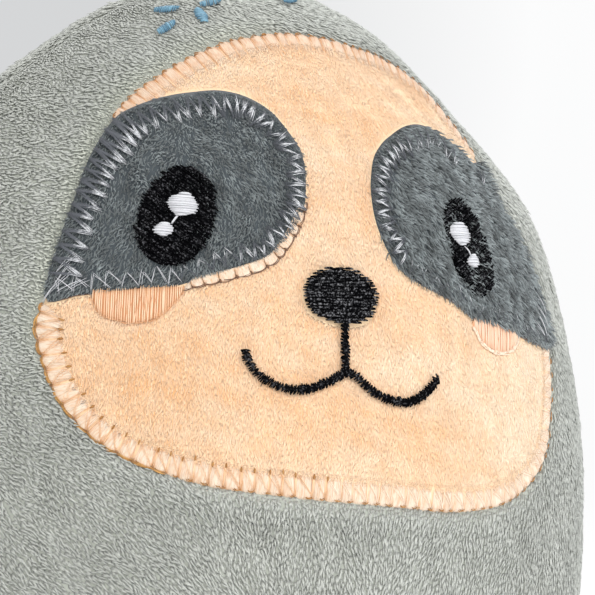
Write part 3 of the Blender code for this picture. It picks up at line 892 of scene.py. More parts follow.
@dataclass
class Egg(Form):
    """The head and body in one, cut flat where it stands."""

    half_width: float = 0.100
    top: float = 0.266
    base_half_width: float = 0.050
    base_rim: float = 0.006
    pile_depth: float = 0.002
    section_power: float = 1.94
    depth_shares: tuple[float, float] = (0.99, 0.74)
    lower_shares: Line = ((0.216, 0.014), (0.420, 0.050), (0.625, 0.118), (0.807, 0.205),
                          (0.927, 0.305), (1.0, 0.454))
    upper_shares: Line = ((0.975, 0.603), (0.895, 0.722), (0.772, 0.821), (0.557, 0.901),
                          (0.356, 0.960), (0.176, 0.990), (0.0, 1.0))
    seam_depth: float = 1.1 * MM
    seam_width: float = 2.2 * MM
    lump: float = 0.30 * MM
    dent: float = 0.08 * MM
    edge_puff: float = 0.7 * MM
    edge_crease: float = 0.8 * MM
    face: Array = field(init=False)

    def __post_init__(self) -> None:
        """Draws the profile and the face's outline."""
        height = self.top + self.pile_depth
        rim = np.array((self.base_half_width + self.base_rim, 0.0))
        widest = np.array((self.half_width, 0.0))
        lower = [rim + (widest - rim) * x + (0, z * height) for x, z in self.lower_shares]
        upper = [(x * self.half_width, z * height) for x, z in self.upper_shares]
        self.profile = smooth_line([rim, *lower, *upper], 12) - (0, self.pile_depth)
        self.place = Matrix.Identity(4)
        self.face = smooth_line(FACE_LINE, 3, closed=True) * MM

    def depth(self, height: Array) -> Array:
        """The body's depth as a share of its width, at a height."""
        low, high = self.depth_shares
        return low + (high - low) * (height + self.pile_depth) / (self.top + self.pile_depth)

    def section(self, radius: Array, height: Array, angle: Array) -> Array:
        """The points of the body's section, a little squarer than an oval.

        Args:
            radius: half the body's width.
            height: the height.
            angle: the bearing.

        Returns:
            The points, one row each.
        """
        power = self.section_power
        across, along = np.cos(angle), np.sin(angle)
        edge = radius * (np.abs(across) ** power + np.abs(along) ** power) ** (-1 / power)
        return np.stack([edge * across, edge * along * self.depth(height), height], axis=1)

    def front(self, places: Array) -> Spots:
        """Finds the spots on the body's front that lie at places drawn from the front.

        Args:
            places: across and height, one row each.

        Returns:
            The spots on the surface.
        """
        across, height = places[:, 0], places[:, 1]
        run = run_along(self.profile)
        share = np.interp(height, self.profile[:, 1], run) / run[-1]
        radius = np.interp(height, self.profile[:, 1], self.profile[:, 0])
        part = np.clip(np.abs(across) / radius, 0, 0.999)
        back = radius * (1 - part ** self.section_power) ** (1 / self.section_power)
        return self.spots(np.arctan2(-back, across), share)

    def lumps(self, places: Array) -> Array:
        """The stuffing's soft lumps under the cloth.

        Args:
            places: points on the body.

        Returns:
            The level at each.
        """
        calm = 0.55 + 0.45 * np.clip(-places[:, 0] / self.half_width, -1, 1)
        broad = self.lump * calm * (ripple(places, 34 * MM, 21) + 0.5 * ripple(places, 15 * MM, 22))
        return broad + self.dent * ripple(places, 8 * MM, 23)

    def drawn(self, places: Array) -> Array:
        """How the seams and the face's edge draw the grey cloth in, and puff it beside them.

        Args:
            places: points on the body.

        Returns:
            The level at each, above zero where the cloth puffs.
        """
        sides = np.exp(-(places[:, 1] / self.seam_width) ** 2)
        spine = np.exp(-(places[:, 0] / self.seam_width) ** 2) * (places[:, 1] > 0)
        off = -edge_distance(places[:, [0, 2]], self.face) / MM
        ahead = (places[:, 1] < 0) * held(1 - off / 16)
        left = 0.5 + 0.5 * np.clip(-places[:, 0] / self.half_width * 2, -1, 1)
        puff = ahead * left * np.exp(-((off - 4.5) / 3.2) ** 2) * self.edge_puff
        crease = ahead * np.exp(-(off / 1.4) ** 2) * self.edge_crease
        return puff - crease - self.seam_depth * np.maximum(sides, spine)

    def flow(self, places: Array) -> Array:
        """The way that the pile runs, in degrees from around towards down.

        Args:
            places: points on the body.

        Returns:
            The angle at each.
        """
        samples = np.array(FLOW_SAMPLES, float)
        gap = ((places[:, None, [0, 2]] / MM - samples[None, :, :2]) ** 2).sum(2) + 30
        weight = gap ** -1.6
        turn = np.radians(samples[:, 2])
        ahead = (weight * np.sin(turn)).sum(1), (weight * np.cos(turn)).sum(1)
        return np.where(places[:, 1] < 0, np.degrees(np.arctan2(*ahead)), 90.0)


@dataclass
class Cover:
    """The grey cloth that covers the head and body, in three panels and a base."""

    egg: Egg
    pile: Pile = Pile(GREY_PILE)
    ground_level: float = -0.8 * MM
    overlap: float = 2.5 * MM
    tucked: float = 1.3 * MM
    cloth_thickness: float = 0.6 * MM
    grid: float = 2.4 * MM
    rim_reach: float = 4.5 * MM
    base_edge: float = 0.4 * MM
    base_dome: float = 0.8 * MM
    base_level: float = 1.6 * MM
    base_tufts: int = 6500
    base_pile_length: float = 1.6 * MM

    def build(self) -> None:
        """Builds the ground cloth, the pile and the base."""
        grounds = {
            "front_cloth": (math.pi, 2 * math.pi, ("front_skin", "body_stuffing")),
            "back_cloth_left": (0.0, math.pi / 2, ("back_skin_left",)),
            "back_cloth_right": (math.pi / 2, math.pi, ("back_skin_right",)),
        }
        for name, (start, stop, nodes) in grounds.items():
            piece = self.ground(name, start, stop)
            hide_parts(*nodes)
        self.plant()
        self.base()

    def ground(self, name: str, start: float, stop: float) -> bpy.types.Object:
        """Builds one panel of the ground cloth between two bearings.

        Args:
            name: the piece's name.
            start: the bearing where it begins.
            stop: the bearing where it ends.

        Returns:
            The panel.
        """
        columns = int((stop - start) * self.egg.half_width / self.grid)
        rows = int(self.egg.length / self.grid)
        angle, share, faces = self.egg.sheet(columns, rows, 0.004, 0.9985, start, stop)
        spots = self.egg.spots(angle, share)
        off = -edge_distance(spots.point[:, [0, 2]], self.egg.face)
        kept = (spots.point[:, 1] > 0) | (off > -self.overlap)
        faces = faces[kept[faces].all(axis=1)]
        level = self.ground_level + self.egg.lumps(spots.point) + self.egg.drawn(spots.point)
        under = (spots.point[:, 1] < 0) * held((0.4 * MM - off) / (1.6 * MM))
        level = level - self.tucked * under
        used, order = np.unique(faces, return_inverse=True)
        piece = make_piece(name, spots.raised(level)[used], order.reshape(-1, 4), GREY_CLOTH, "body")
        thicken(piece, self.cloth_thickness)
        return piece

    def plant(self) -> None:
        """Plants the pile in four pieces, two in front and two behind."""
        spots = self.egg.spots(*self.egg.scatter(self.pile.step, 31))
        ahead = spots.point[:, 1] < 0
        off = np.where(ahead, -edge_distance(spots.point[:, [0, 2]], self.egg.face), 1.0)
        flow = self.egg.flow(spots.point)
        tips = spots.point + spots.heading(flow) * self.pile.length
        inside = np.where(ahead, edge_distance(tips[:, [0, 2]], self.egg.face), -1.0)
        clear = off > self.clearance(spots.point, inside)
        spots, ahead, off, flow, inside = (part[clear] for part in (spots, ahead, off, flow, inside))
        place = spots.point
        level = self.egg.lumps(place) + self.egg.drawn(place)
        rim = held(1 - off / self.rim_reach) * held(-place[:, 0] / (20 * MM))
        rim = rim * fade_in(place[:, 2], 0.165, 0.02)
        cropped = np.where(inside > 0, np.clip(off / self.pile.length, 0.3, 1), 1.0) * (1 - 0.35 * rim)
        shade, stir = self.tones(place, ahead)
        left = place[:, 0] > 0
        parts = {
            "front_pile_left": ahead & left,
            "front_pile_right": ahead & ~left,
            "back_pile_left": ~ahead & left,
            "back_pile_right": ~ahead & ~left,
        }
        for number, (name, part) in enumerate(parts.items()):
            pile = replace(self.pile, seed=self.pile.seed + number)
            piece = pile.plant(name, spots[part], flow[part], "body", level[part], shade[part],
                               0.9 * rim[part], cropped[part], stir=stir[part])

    def clearance(self, place: Array, inside: Array) -> Array:
        """How far off the face's edge a tuft has to stand: mixed where the cloth frays at its upper left.

        Args:
            place: the tufts' roots.
            inside: how far inside the face their tips lie.

        Returns:
            The least distance of each.
        """
        gold = (place[:, 0] < -36 * MM) & (place[:, 2] < PATCH_FOOT)
        fluffy = (place[:, 0] > 45 * MM) & (place[:, 2] > PATCH_FOOT) & (place[:, 2] < 0.229)
        mixed = np.random.default_rng(32).uniform(-0.9, 1.6, len(place))
        return np.where(fluffy, mixed, np.where(gold & (inside > -0.4 * MM), 0.75, 0.15)) * MM

    def tones(self, place: Array, ahead: Array) -> tuple[Array, Array]:
        """The pile's painted shade, and how lively it stands.

        Args:
            place: the tufts' roots.
            ahead: whether each stands in front.

        Returns:
            The painted shade and the liveliness of each.
        """
        left = held(place[:, 0] / self.egg.half_width) * ahead
        low = held((PATCH_FOOT - place[:, 2]) / PATCH_FOOT)
        right = held(-place[:, 0] / self.egg.half_width) * ahead
        # Painted shade: in front the pile darkens towards both sides and downwards, less so low on the toy's
        # left.
        shade = 1.0 - 0.16 * left - 0.10 * right - 0.22 * low + 0.37 * left * low
        shade = np.where(ahead, shade, 1.0) + 0.03 * ripple(place, 24 * MM, 41)
        high = fade_in(place[:, 2], 0.235, 0.01)
        outer = right ** 2 * fade_in(place[:, 2], 0.2, 0.02)
        calm = 0.6 * left ** 0.5 + 0.42 * held(low * 3) + 0.5 * high + 0.5 * outer
        return shade, 1 - ahead * np.clip(calm, 0, 0.6)

    def base(self) -> None:
        """Builds the flat base, its seam and its flattened pile."""
        egg = self.egg
        angle, share = np.meshgrid(np.linspace(0, 2 * np.pi, 97)[:-1], np.linspace(0.02, 1, 22))
        radius = (egg.base_half_width + egg.base_rim * 0.7) * share.ravel()
        dome = self.base_edge + self.base_dome * held(1 - share.ravel() ** 4)
        points = egg.section(radius, dome, angle.ravel())
        # Each face starts at its second corner, so that it bends along its other diagonal
        faces = np.roll(grid_faces(angle.shape, closed=True), -1, axis=1)
        piece = make_piece("base_cloth", points, faces, GREY_CLOTH, "body")
        thicken(piece, self.cloth_thickness)
        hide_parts("base_panel")
        rng = np.random.default_rng(77)
        count = self.base_tufts
        turn = rng.uniform(0, 2 * np.pi, count)
        out = (egg.base_half_width + egg.base_rim) * np.sqrt(rng.uniform(0, 1, count))
        place = egg.section(out, np.full(count, self.base_level), turn)
        down = np.tile([0.0, 0.0, -1.0], (count, 1))
        ahead = np.tile([1.0, 0.0, 0.0], (count, 1))
        spots = Spots(place, down, ahead, np.cross(down, ahead))
        pile = replace(self.pile, length=self.base_pile_length, lean=8.0, height=0.25 * MM, sunk=0.0)
        piece = pile.plant("base_pile", spots, np.full(count, 90.0), "body", 0.0, 0.95)


def fill_outline(outline: Array, step: float) -> tuple[Array, Array]:
    """Fills a closed outline with small triangles.

    Args:
        outline: its points.
        step: the triangles' usual size.

    Returns:
        The points and the triangles.
    """
    low, high = outline.min(0), outline.max(0)
    across, up = (np.arange(low[k] + step / 2, high[k], step) for k in (0, 1))
    grid = np.stack(np.meshgrid(across, up), axis=-1)
    grid[1::2, :, 0] += step / 2
    grid = grid.reshape(-1, 2)
    grid = grid[edge_distance(grid, outline) > step * 0.6]
    count = len(outline)
    edges = [(k, (k + 1) % count) for k in range(count)]
    made = delaunay_2d_cdt([Vector(p) for p in np.vstack([outline, grid])], edges, [], 1, 1e-7)
    return np.array([tuple(p) for p in made[0]]), np.array([f for f in made[2] if len(f) == 3])


@dataclass(frozen=True)
class Satin:
    """How rows of stitches fill a shape; their lie is in degrees up from level."""

    lie: float
    pitch: float
    stitch: float
    ragged: float
    seed: int
    arc: float = 0.0


@dataclass
class Applique:
    """Sews shapes of cloth and thread on the front of the body."""

    egg: Egg

    def outline(self, points: Line, step: float = 1.2 * MM) -> Array:
        """A closed outline on the face, walked in even steps, anticlockwise.

        Args:
            points: what it passes through, in millimetres.
            step: the steps' length.

        Returns:
            The outline's points.
        """
        line = walk(smooth_line(points, 6, closed=True) * MM, step, closed=True)[0]
        after = np.roll(line, -1, axis=0)
        area = (line[:, 0] * after[:, 1] - after[:, 0] * line[:, 1]).sum()
        return line if area > 0 else line[::-1]

    def lift(self, places: Array, level: Array | float) -> tuple[Array, Array]:
        """Puts places drawn from the front on the body.

        Args:
            places: across and height, in any number of dimensions.
            level: the level over the pile's surface.

        Returns:
            The points, and the surface's direction at each.
        """
        flat = places.reshape(-1, 2)
        spots = self.egg.front(flat)
        level = np.broadcast_to(level, places.shape[:-1]).ravel() + self.egg.lumps(spots.point)
        shape = (*places.shape[:-1], 3)
        return spots.raised(level).reshape(shape), spots.normal.reshape(shape)

    def patch(self, name: str, outline: Array, finish: Finish, level: Callable[[Array], Array],
              step: float = 1.6 * MM, thickness: float = 0.6 * MM) -> bpy.types.Object:
        """Cuts a patch of cloth to an outline and lays it on the body.

        Args:
            name: the piece's name.
            outline: its outline, on the face.
            finish: its cloth.
            level: gives the level at each distance from its edge.
            step: its triangles' size.
            thickness: the cloth's thickness.

        Returns:
            The patch.
        """
        places, faces = fill_outline(outline, step)
        inner = np.maximum(edge_distance(places, outline), 0)
        points = self.lift(places, level(inner))[0]
        piece = make_piece(name, points, faces, finish, "body")
        thicken(piece, thickness)
        return piece

    def roots(self, outline: Array, step: float, seed: int) -> Array:
        """Spreads the roots of a pile inside an outline.

        Args:
            outline: what is filled.
            step: the space between roots.
            seed: which disorder they have.

        Returns:
            The roots, across and height.
        """
        rng = np.random.default_rng(seed)
        low, high = outline.min(0), outline.max(0)
        across, up = (np.arange(low[k], high[k], step) for k in (0, 1))
        grid = np.stack(np.meshgrid(across, up), axis=-1)
        grid[1::2, :, 0] += step / 2
        grid = grid.reshape(-1, 2) + rng.uniform(-0.45, 0.45, (grid.size // 2, 2)) * step
        return grid[edge_distance(grid, outline) > 0]

    def rows(self, outline: Array, satin: Satin) -> Array:
        """Fills an outline with rows of stitches, drawn flat.

        Args:
            outline: what is filled.
            satin: how it is filled.

        Returns:
            The two ends of each stitch.
        """
        rng = np.random.default_rng(satin.seed)
        pitch, stitch, ragged = satin.pitch, satin.stitch, satin.ragged
        turn = math.radians(satin.lie)
        spin = np.array([[math.cos(turn), -math.sin(turn)], [math.sin(turn), math.cos(turn)]])
        own = outline @ spin
        after = np.roll(own, -1, axis=0)
        ends = []
        for row in np.arange(own[:, 1].min() + pitch / 2, own[:, 1].max() - pitch / 4, pitch):
            row += rng.uniform(-0.2, 0.2) * pitch
            over = (own[:, 1] > row) != (after[:, 1] > row)
            share = (row - own[over, 1]) / (after[over, 1] - own[over, 1])
            hits = np.sort(own[over, 0] + share * (after[over, 0] - own[over, 0]))
            for first, last in zip(hits[::2], hits[1::2]):
                first, last = first - rng.uniform(-0.3, 1) * ragged, last + rng.uniform(-0.3, 1) * ragged
                count = max(int(round((last - first) / stitch + rng.uniform(-0.3, 0.3))), 1)
                cuts = np.linspace(first, last, count + 1)
                cuts[1:-1] += rng.uniform(-0.3, 0.3, count - 1) * stitch
                tilt = rng.normal(0, 0.12 * pitch, (count, 2))
                for (near, far), (low, high) in zip(zip(cuts, cuts[1:]), tilt):
                    ends.append(((near - 0.1 * MM, row + low), (far + 0.1 * MM, row + high)))
        return np.array(ends) @ spin.T

    def fill(self, outline: Array, satin: Satin, level: float) -> tuple[Array, Array]:
        """Fills an outline on the face with rows of stitches.

        Args:
            outline: what is filled.
            satin: how it is filled.
            level: the stitches' level at their ends.

        Returns:
            The stitches' paths, and the surface's direction along them.
        """
        ends = self.rows(outline, satin)
        t = np.linspace(0, 1, 5)
        uneven = np.random.default_rng(satin.seed + 1).uniform(-0.12, 0.12, (len(ends), 1)) * MM
        return self.lift(between_ends(ends, t), level + satin.arc * np.sin(np.pi * t) ** 0.7 + uneven)


def between_ends(ends: Array, shares: Array) -> Array:
    """Places along straight lines, at shares of their length."""
    return ends[:, :1] * (1 - shares[:, None]) + ends[:, 1:] * shares[:, None]


def piece_of_line(line: Array, start: tuple[float, float], stop: tuple[float, float]) -> Array:
    """Cuts a stretch out of a closed line, from the point nearest one place to that nearest another.

    Args:
        line: the closed line.
        start: where the stretch begins, in millimetres.
        stop: where it ends.

    Returns:
        The stretch's points.
    """
    first, last = (int(np.linalg.norm(line - np.array(p) * MM, axis=1).argmin()) for p in (start, stop))
    order = np.arange(first, last + (len(line) if last <= first else 0) + 1) % len(line)
    return line[order]


@dataclass
class Band:
    """A stretch of the face's edge, walked in small parts."""

    edge: Array
    inward: Array
    depth: Array
    strength: Array
    marks: Array

    @property
    def phase(self) -> Array:
        """Each place's phase: whole numbers lie in grooves."""
        return np.interp(np.arange(len(self.edge)), self.marks, np.arange(len(self.marks)))

    def read(self, values: Array, phase: Array) -> Array:
        """Reads numbers that the places have, at any phase."""
        where = np.interp(phase, np.arange(len(self.marks)), self.marks)
        return np.interp(where, np.arange(len(values)), values)

    def places(self, phase: Array, inner: Array) -> Array:
        """Places at phases along the stretch and distances from its edge."""
        return np.stack([self.read(self.edge[:, k], phase) + inner * self.read(self.inward[:, k], phase)
                         for k in (0, 1)], axis=-1)


@dataclass(frozen=True)
class Edging:
    """A stretch of the face's edge, and how its thread draws it in."""

    title: str
    node: str
    ends: Line
    depth: float
    puff: float
    groove_shade: float
    hole: float
    slants: tuple[float, ...]
    bare: float
    taper: float
    right: float
    seed: int
    pitch: float = 3.4 * MM
    parts: int = 8
    bulge: float = 0.3 * MM
    line: Line | None = None
    thread: ThreadFinish = PEACH_THREAD
    puffs: PuffFinish = PEACH_PUFFS
    rise: float = -0.1 * MM
    gold_to: float = -0.2
    pale_from: float = 0.2

    def walked(self, outline: Array) -> Band:
        """Walks the stretch, clockwise round the face.

        Args:
            outline: the face's outline.

        Returns:
            The stretch, walked in small parts.
        """
        stretch = piece_of_line(outline, *self.ends) if self.line is None else smooth_line(self.line) * MM
        edge, heading = walk(stretch, self.pitch / self.parts)
        count = len(edge)
        run = np.arange(count) * self.pitch / self.parts
        depth = self.depth * np.clip(np.minimum(run, run[::-1]) / self.taper, 0.1, 1) ** 0.7
        strength = 1 - (1 - self.right) * held(edge[:, 0] / (50 * MM))
        gaps = np.random.default_rng(self.seed).uniform(0.72, 1.3, count // self.parts * 2) * self.parts
        marks = np.concatenate([[0], np.cumsum(np.round(gaps))]).astype(int)
        marks = np.concatenate([marks[marks < count - 4], [count - 1]])
        return Band(edge, np.stack([heading[:, 1], -heading[:, 0]], axis=1), depth, strength, marks)

    def swell(self, phase: Array) -> Array:
        """How full the puffs are, from 0 in a groove to about 1.2."""
        sizes = np.random.default_rng(self.seed + 7).uniform(0.75, 1.2, int(phase.max()) + 2)
        return np.abs(np.sin(np.pi * phase)) ** 0.6 * np.interp(phase, np.arange(len(sizes)), sizes)

    def relief(self, phase: Array, share: Array, strength: Array) -> tuple[Array, Array, Array]:
        """The puffs' height, and the painted shade of the grooves and holes where thread draws them in.

        Args:
            phase: the place along the edge, in puffs.
            share: the share of the border's depth, from its outer edge.
            strength: how strongly the thread draws there.

        Returns:
            The height, the painted shade of a groove, and the painted shadow of a hole.
        """
        swell = self.swell(phase)
        rise = held(share / 0.2) ** 0.6 * held(1 - share)
        rim = held(-share / 0.12)
        height = (self.puff * swell - 0.25 * MM * held(1 - 1.4 * swell)) * rise * strength
        cut = held(1 - swell * (1.3 + 1.5 * held(share)))
        groove_shade = self.groove_shade * cut ** 0.7 * held(1.05 - share) ** 0.6 * strength
        deepest = np.exp(-((share - 0.88) / 0.12) ** 2)
        hole = self.hole * held(1.3 - swell * 1.6) * deepest * strength
        return height - 0.7 * MM * rim, groove_shade, hole


HEM_LINE = (
    (-7.4, 213.5), (-8.6, 210), (-10.4, 206.6), (-12.4, 203.6), (-15, 200.3), (-18, 198.1), (-21.4, 196.4),
    (-24.4, 195.3), (-30.2, 193.4), (-36.5, 191.2),
)
EDGINGS = (
    Edging("face_border_top", "face_border_top", FACE_TOP_ENDS, depth=4.4 * MM, puff=0.6 * MM, groove_shade=0.9,
           hole=0.0, slants=(0.0, 0.02), bare=0.5, taper=5 * MM, right=1.0, seed=51,
           pitch=3.0 * MM, bulge=0.5 * MM, puffs=TOP_PUFFS),
    Edging("face_border_bottom", "face_border_bottom", FACE_BOTTOM_ENDS, depth=5.2 * MM, puff=0.7 * MM,
           groove_shade=0.8, hole=1.0, slants=(0.0, 0.04, 0.85, 1.0, 1.15), bare=0.8, taper=2 * MM, right=0.6,
           seed=52, bulge=0.45 * MM, gold_to=-40 * MM, pale_from=-2 * MM),
    Edging("patch_hem", "", (), depth=2.1 * MM, puff=0.5 * MM, groove_shade=0.7, hole=0.0, slants=(0.0,),
           bare=1.15, taper=3 * MM, right=1.0, seed=53, pitch=3.2 * MM, bulge=0.35 * MM,
           line=HEM_LINE, thread=BROWN_THREAD, rise=0.3 * MM),
)
BORDER_SHARES = (-0.12, -0.05, 0.02, 0.08, 0.16, 0.27, 0.40, 0.54, 0.68, 0.80, 0.90, 1.0)


@dataclass
class Face(Applique):
    """The peach face, its nap, and the puffed border that sews it on."""

    covered: Sequence[Array] = ()
    nap: Pile = Pile(PEACH_NAP, step=0.42 * MM, length=2.0 * MM, width=0.36 * MM, height=0.03 * MM, lean=1.2,
                     disorder=7.0, sunk=0.06 * MM, seed=15, swirl=3.0)
    level: float = -0.85 * MM
    edge_dip: float = 0.55 * MM
    puff_thickness: float = 0.3 * MM
    puff_sunk: float = 0.04 * MM
    stitch_thread: Thread = Thread(PEACH_THREAD, 0.08 * MM, 0.5)
    stitch_lift: float = 0.12 * MM
    hole_thread: Thread = Thread(HOLE_THREAD, 0.28 * MM, 0.35)
    gold_thread: Thread = Thread(GOLD_THREAD, 0.17 * MM, 0.6)
    rim_thread: Thread = Thread(HOLE_THREAD, 0.11 * MM, 0.6)
    hole_lift: float = 0.22 * MM
    hem_lift: float = 0.3 * MM
    flat_size: tuple[float, float] = (0.142, 0.116)
    flat_area: float = 0.0128

    def build(self) -> None:
        """Builds the face's cloth, its borders and its nap."""
        outline = self.egg.face
        cloth = self.patch("face_cloth", outline, PEACH_CLOTH, self.cloth_level, 1.8 * MM)
        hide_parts("face_patch")
        for edging in EDGINGS:
            self.border(edging)
        self.plant(outline)

    def cloth_level(self, inner: Array) -> Array:
        """The cloth's level, which dips where its edge is sewn down."""
        return self.level - self.edge_dip * held(1 - inner / (5 * MM)) ** 2

    def cropped(self, roots: Array) -> Array:
        """The share of its length that each fibre keeps, so that none runs over a patch.

        Args:
            roots: the fibres' roots.

        Returns:
            The shares.
        """
        share = np.ones(len(roots))
        for cover in self.covered:
            inside = edge_distance(roots, cover)
            tips = edge_distance(roots - (0, self.nap.length), cover)
            kept = held((-0.15 * MM - inside) / self.nap.length)
            share = np.minimum(share, np.where((tips > 0) | (inside > -0.3 * MM), kept, 1.0))
        return share

    def surface(self, places: Array, outline: Array) -> tuple[Array, Array, Array, Array, Array]:
        """Reads the face's surface, with the border's puffs.

        Args:
            places: places drawn from the front.
            outline: the face's outline.

        Returns:
            The level there, how far thread draws it in, painted as shade in the grooves and holes, how full
            a puff is, whether nap stands there, and the share of the border's depth.
        """
        inner = edge_distance(places, outline)
        level = self.cloth_level(np.maximum(inner, 0))
        drawn, full, deep = np.zeros(len(places)), np.zeros(len(places)), np.full(len(places), 9.0)
        napped = inner > 0.25 * MM
        for edging in EDGINGS:
            band = edging.walked(outline)
            low, high = band.edge.min(0) - 2 * edging.depth, band.edge.max(0) + 2 * edging.depth
            near = np.flatnonzero(((places > low) & (places < high)).all(1) & (inner < 30 * MM)
                                  & ((inner < 1.3 * edging.depth) | (edging.line is not None)))
            apart = np.linalg.norm(places[near, None] - band.edge[None], axis=2)
            nearest, gap = apart.argmin(1), apart.min(1)
            share = gap / band.depth[nearest]
            ahead = ((places[near] - band.edge[nearest]) * band.inward[nearest]).sum(1)
            fits = (share < 1.2) & (ahead > 0)
            near, nearest, share = near[fits], nearest[fits], share[fits]
            strength = band.strength[nearest]
            height, groove_shade, hole = edging.relief(band.phase[nearest], share, strength)
            level[near] += height
            drawn[near] = np.maximum(groove_shade, hole)
            full[near] = held(height / edging.puff)
            deep[near] = share
            napped[near] &= share > edging.bare * held(strength * 3 - 1)
        return level + self.egg.lumps(self.egg.front(places).point), drawn, full, napped, deep

    def plant(self, outline: Array) -> None:
        """Plants the face's short nap, also over the border's puffs.

        Args:
            outline: the face's outline.
        """
        roots = self.roots(outline, self.nap.step, 71)
        level, drawn, full, napped, _ = self.surface(roots, outline)
        spots = self.egg.front(roots)
        flow = 88 + 6 * ripple(spots.point, 17 * MM, 74)
        tips = (spots.point + spots.heading(flow) * self.nap.length)[:, [0, 2]]
        ahead, _, _, _, deep = self.surface(tips, outline)
        climb = np.clip(ahead - level, -0.5 * MM, 0.5 * MM)
        over = edge_distance(tips, outline) < 0
        short = np.where(over, np.clip(edge_distance(roots, outline) / self.nap.length, 0.25, 1), 1.0)
        cropped = np.minimum(self.cropped(roots), short) * (1 - 0.4 * full)
        cropped = cropped * np.where(deep < 0.85, 0.45, 1.0)
        shade, tan = self.tones(spots.point, full)
        # Warm: painted shade where the border's grooves and holes draw the nap in, and the nap's own tan.
        warm = held(np.maximum(drawn, tan))
        for name, part in (("face_nap_left", roots[:, 0] > 0), ("face_nap_right", roots[:, 0] <= 0)):
            part = part & napped & (cropped > 0.15) & (drawn < 0.8)
            nap = self.nap.plant(name, spots[part], flow[part], "body", level[part] + self.nap.sunk,
                                 shade[part], warm[part], cropped[part], climb[part] * cropped[part])

    def tones(self, place: Array, full: Array) -> tuple[Array, Array]:
        """The nap's lightness, with painted shade, and how tan it is.

        Args:
            place: the fibres' roots.
            full: how full a puff of the border is under each.

        Returns:
            The lightness of each, and its share of tan.
        """
        left = fade_in(place[:, 0], 20 * MM, 30 * MM)
        right = fade_in(-place[:, 0], 15 * MM, 30 * MM)
        # Painted shade darkens the nap towards the toy's right; it is also a little darker over full puffs.
        shade = 0.99 + 0.015 * ripple(place, 15 * MM, 72) - 0.04 * right - 0.05 * full
        tan = (0.48 + 0.04 * right - 0.30 * left) * (1 - 0.8 * full) + 0.10 * ripple(place, 26 * MM, 75)
        tan = tan + 0.07 * ripple(place, 5 * MM, 76)
        return shade, tan + np.random.default_rng(77).normal(0, 0.08, len(place))

    def border(self, edging: Edging) -> None:
        """Builds a stretch of the border, with the stitches that draw it in.

        Args:
            edging: the stretch.
        """
        band = edging.walked(self.egg.face)
        share = np.array(BORDER_SHARES)
        phase, across = np.meshgrid(band.phase, share, indexing="ij")
        height, groove_shade, hole = edging.relief(phase, across, band.strength[:, None])
        bulge = edging.bulge * edging.swell(band.phase)[:, None] * held(1 - share * 4)
        inner = band.depth[:, None] * share
        places = band.edge[:, None] + band.inward[:, None] * (inner - bulge)[:, :, None]
        level = self.band_level(edging, inner) + height
        points = self.lift(places, level + self.puff_sunk * (1 - 4 * held(share)))[0]
        traits = {"groove_shade": groove_shade.ravel(), "hole": hole.ravel(), "run": phase.ravel(),
                  "across": across.ravel()}
        piece = make_piece(edging.title + "_puffs", points.reshape(-1, 3), grid_faces(points.shape[:2]),
                           edging.puffs, "body", traits)
        thicken(piece, self.puff_thickness)
        if edging.node:
            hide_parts(edging.node)
        self.stitches(edging, band)
        self.edge_thread(edging, band)

    def band_level(self, edging: Edging, inner: Array) -> Array:
        """The cloth's level under a border, which does not dip where another patch's hem draws it."""
        return self.cloth_level(np.maximum(inner, 0)) + (self.edge_dip if edging.line else 0.0)

    def stitches(self, edging: Edging, band: Band) -> None:
        """Lays the fine threads that cross the border in its grooves, and slant over its puffs.

        Args:
            edging: the stretch.
            band: the stretch, walked.
        """
        rng = np.random.default_rng(edging.seed)
        t = np.linspace(-0.03, 1, 8)
        count = len(band.marks) - 1
        phases, shares = [], []
        for slant in edging.slants:
            first = np.arange(count) + rng.normal(0, 0.05, count)
            last = first + slant * rng.uniform(0.8, 1.1, count) + rng.normal(0, 0.04, count)
            phases.append(first[:, None] * (1 - t) + last[:, None] * t)
            shares.append(t * rng.uniform(0.74, 0.94, (count, 1)))
        phase, share = np.clip(np.concatenate(phases), 0, count), np.concatenate(shares)
        inner = share * band.read(band.depth, phase)
        height = edging.relief(phase, share, band.read(band.strength, phase))[0]
        level = self.band_level(edging, inner) + height + self.stitch_lift
        points, normals = self.lift(band.places(phase, inner), level)
        pale = points[:, 0, 0] > edging.pale_from
        for title, kept, finish in (("_stitches", ~pale, edging.thread),
                                    ("_pale_stitches", pale, WHITE_PEACH_THREAD)):
            if kept.any():
                thread = replace(self.stitch_thread, finish=finish)
                piece = thread.lay(edging.title + title, points[kept], normals[kept], "body")
        if edging.groove_shade < 0.9:
            self.holes(edging, band)

    def holes(self, edging: Edging, band: Band) -> None:
        """Lays the short brown stitches that sink where each groove ends.

        Args:
            edging: the stretch.
            band: the stretch, walked.
        """
        rng = np.random.default_rng(edging.seed + 5)
        count = len(band.marks) - 1
        phase = np.arange(1, count) + rng.normal(0, 0.04, count - 1)
        strong = band.read(band.strength, phase)
        phase = phase[(strong > 0.5) & (band.read(band.edge[:, 0], phase) < edging.pale_from)]
        hem = edging.line is not None
        t = np.linspace(-0.2, 0.25, 4) if hem else np.linspace(0.76, 0.98, 4)
        share = t + rng.normal(0, 0.05, (len(phase), 1))
        inner = share * band.read(band.depth, phase)[:, None]
        spread = np.broadcast_to(phase[:, None], share.shape)
        level = self.level + (self.hem_lift if hem else self.hole_lift)
        points, normals = self.lift(band.places(spread, inner), level)
        thread = replace(self.hole_thread, finish=BROWN_THREAD) if hem else self.hole_thread
        piece = thread.lay(edging.title + "_holes", points, normals, "body")

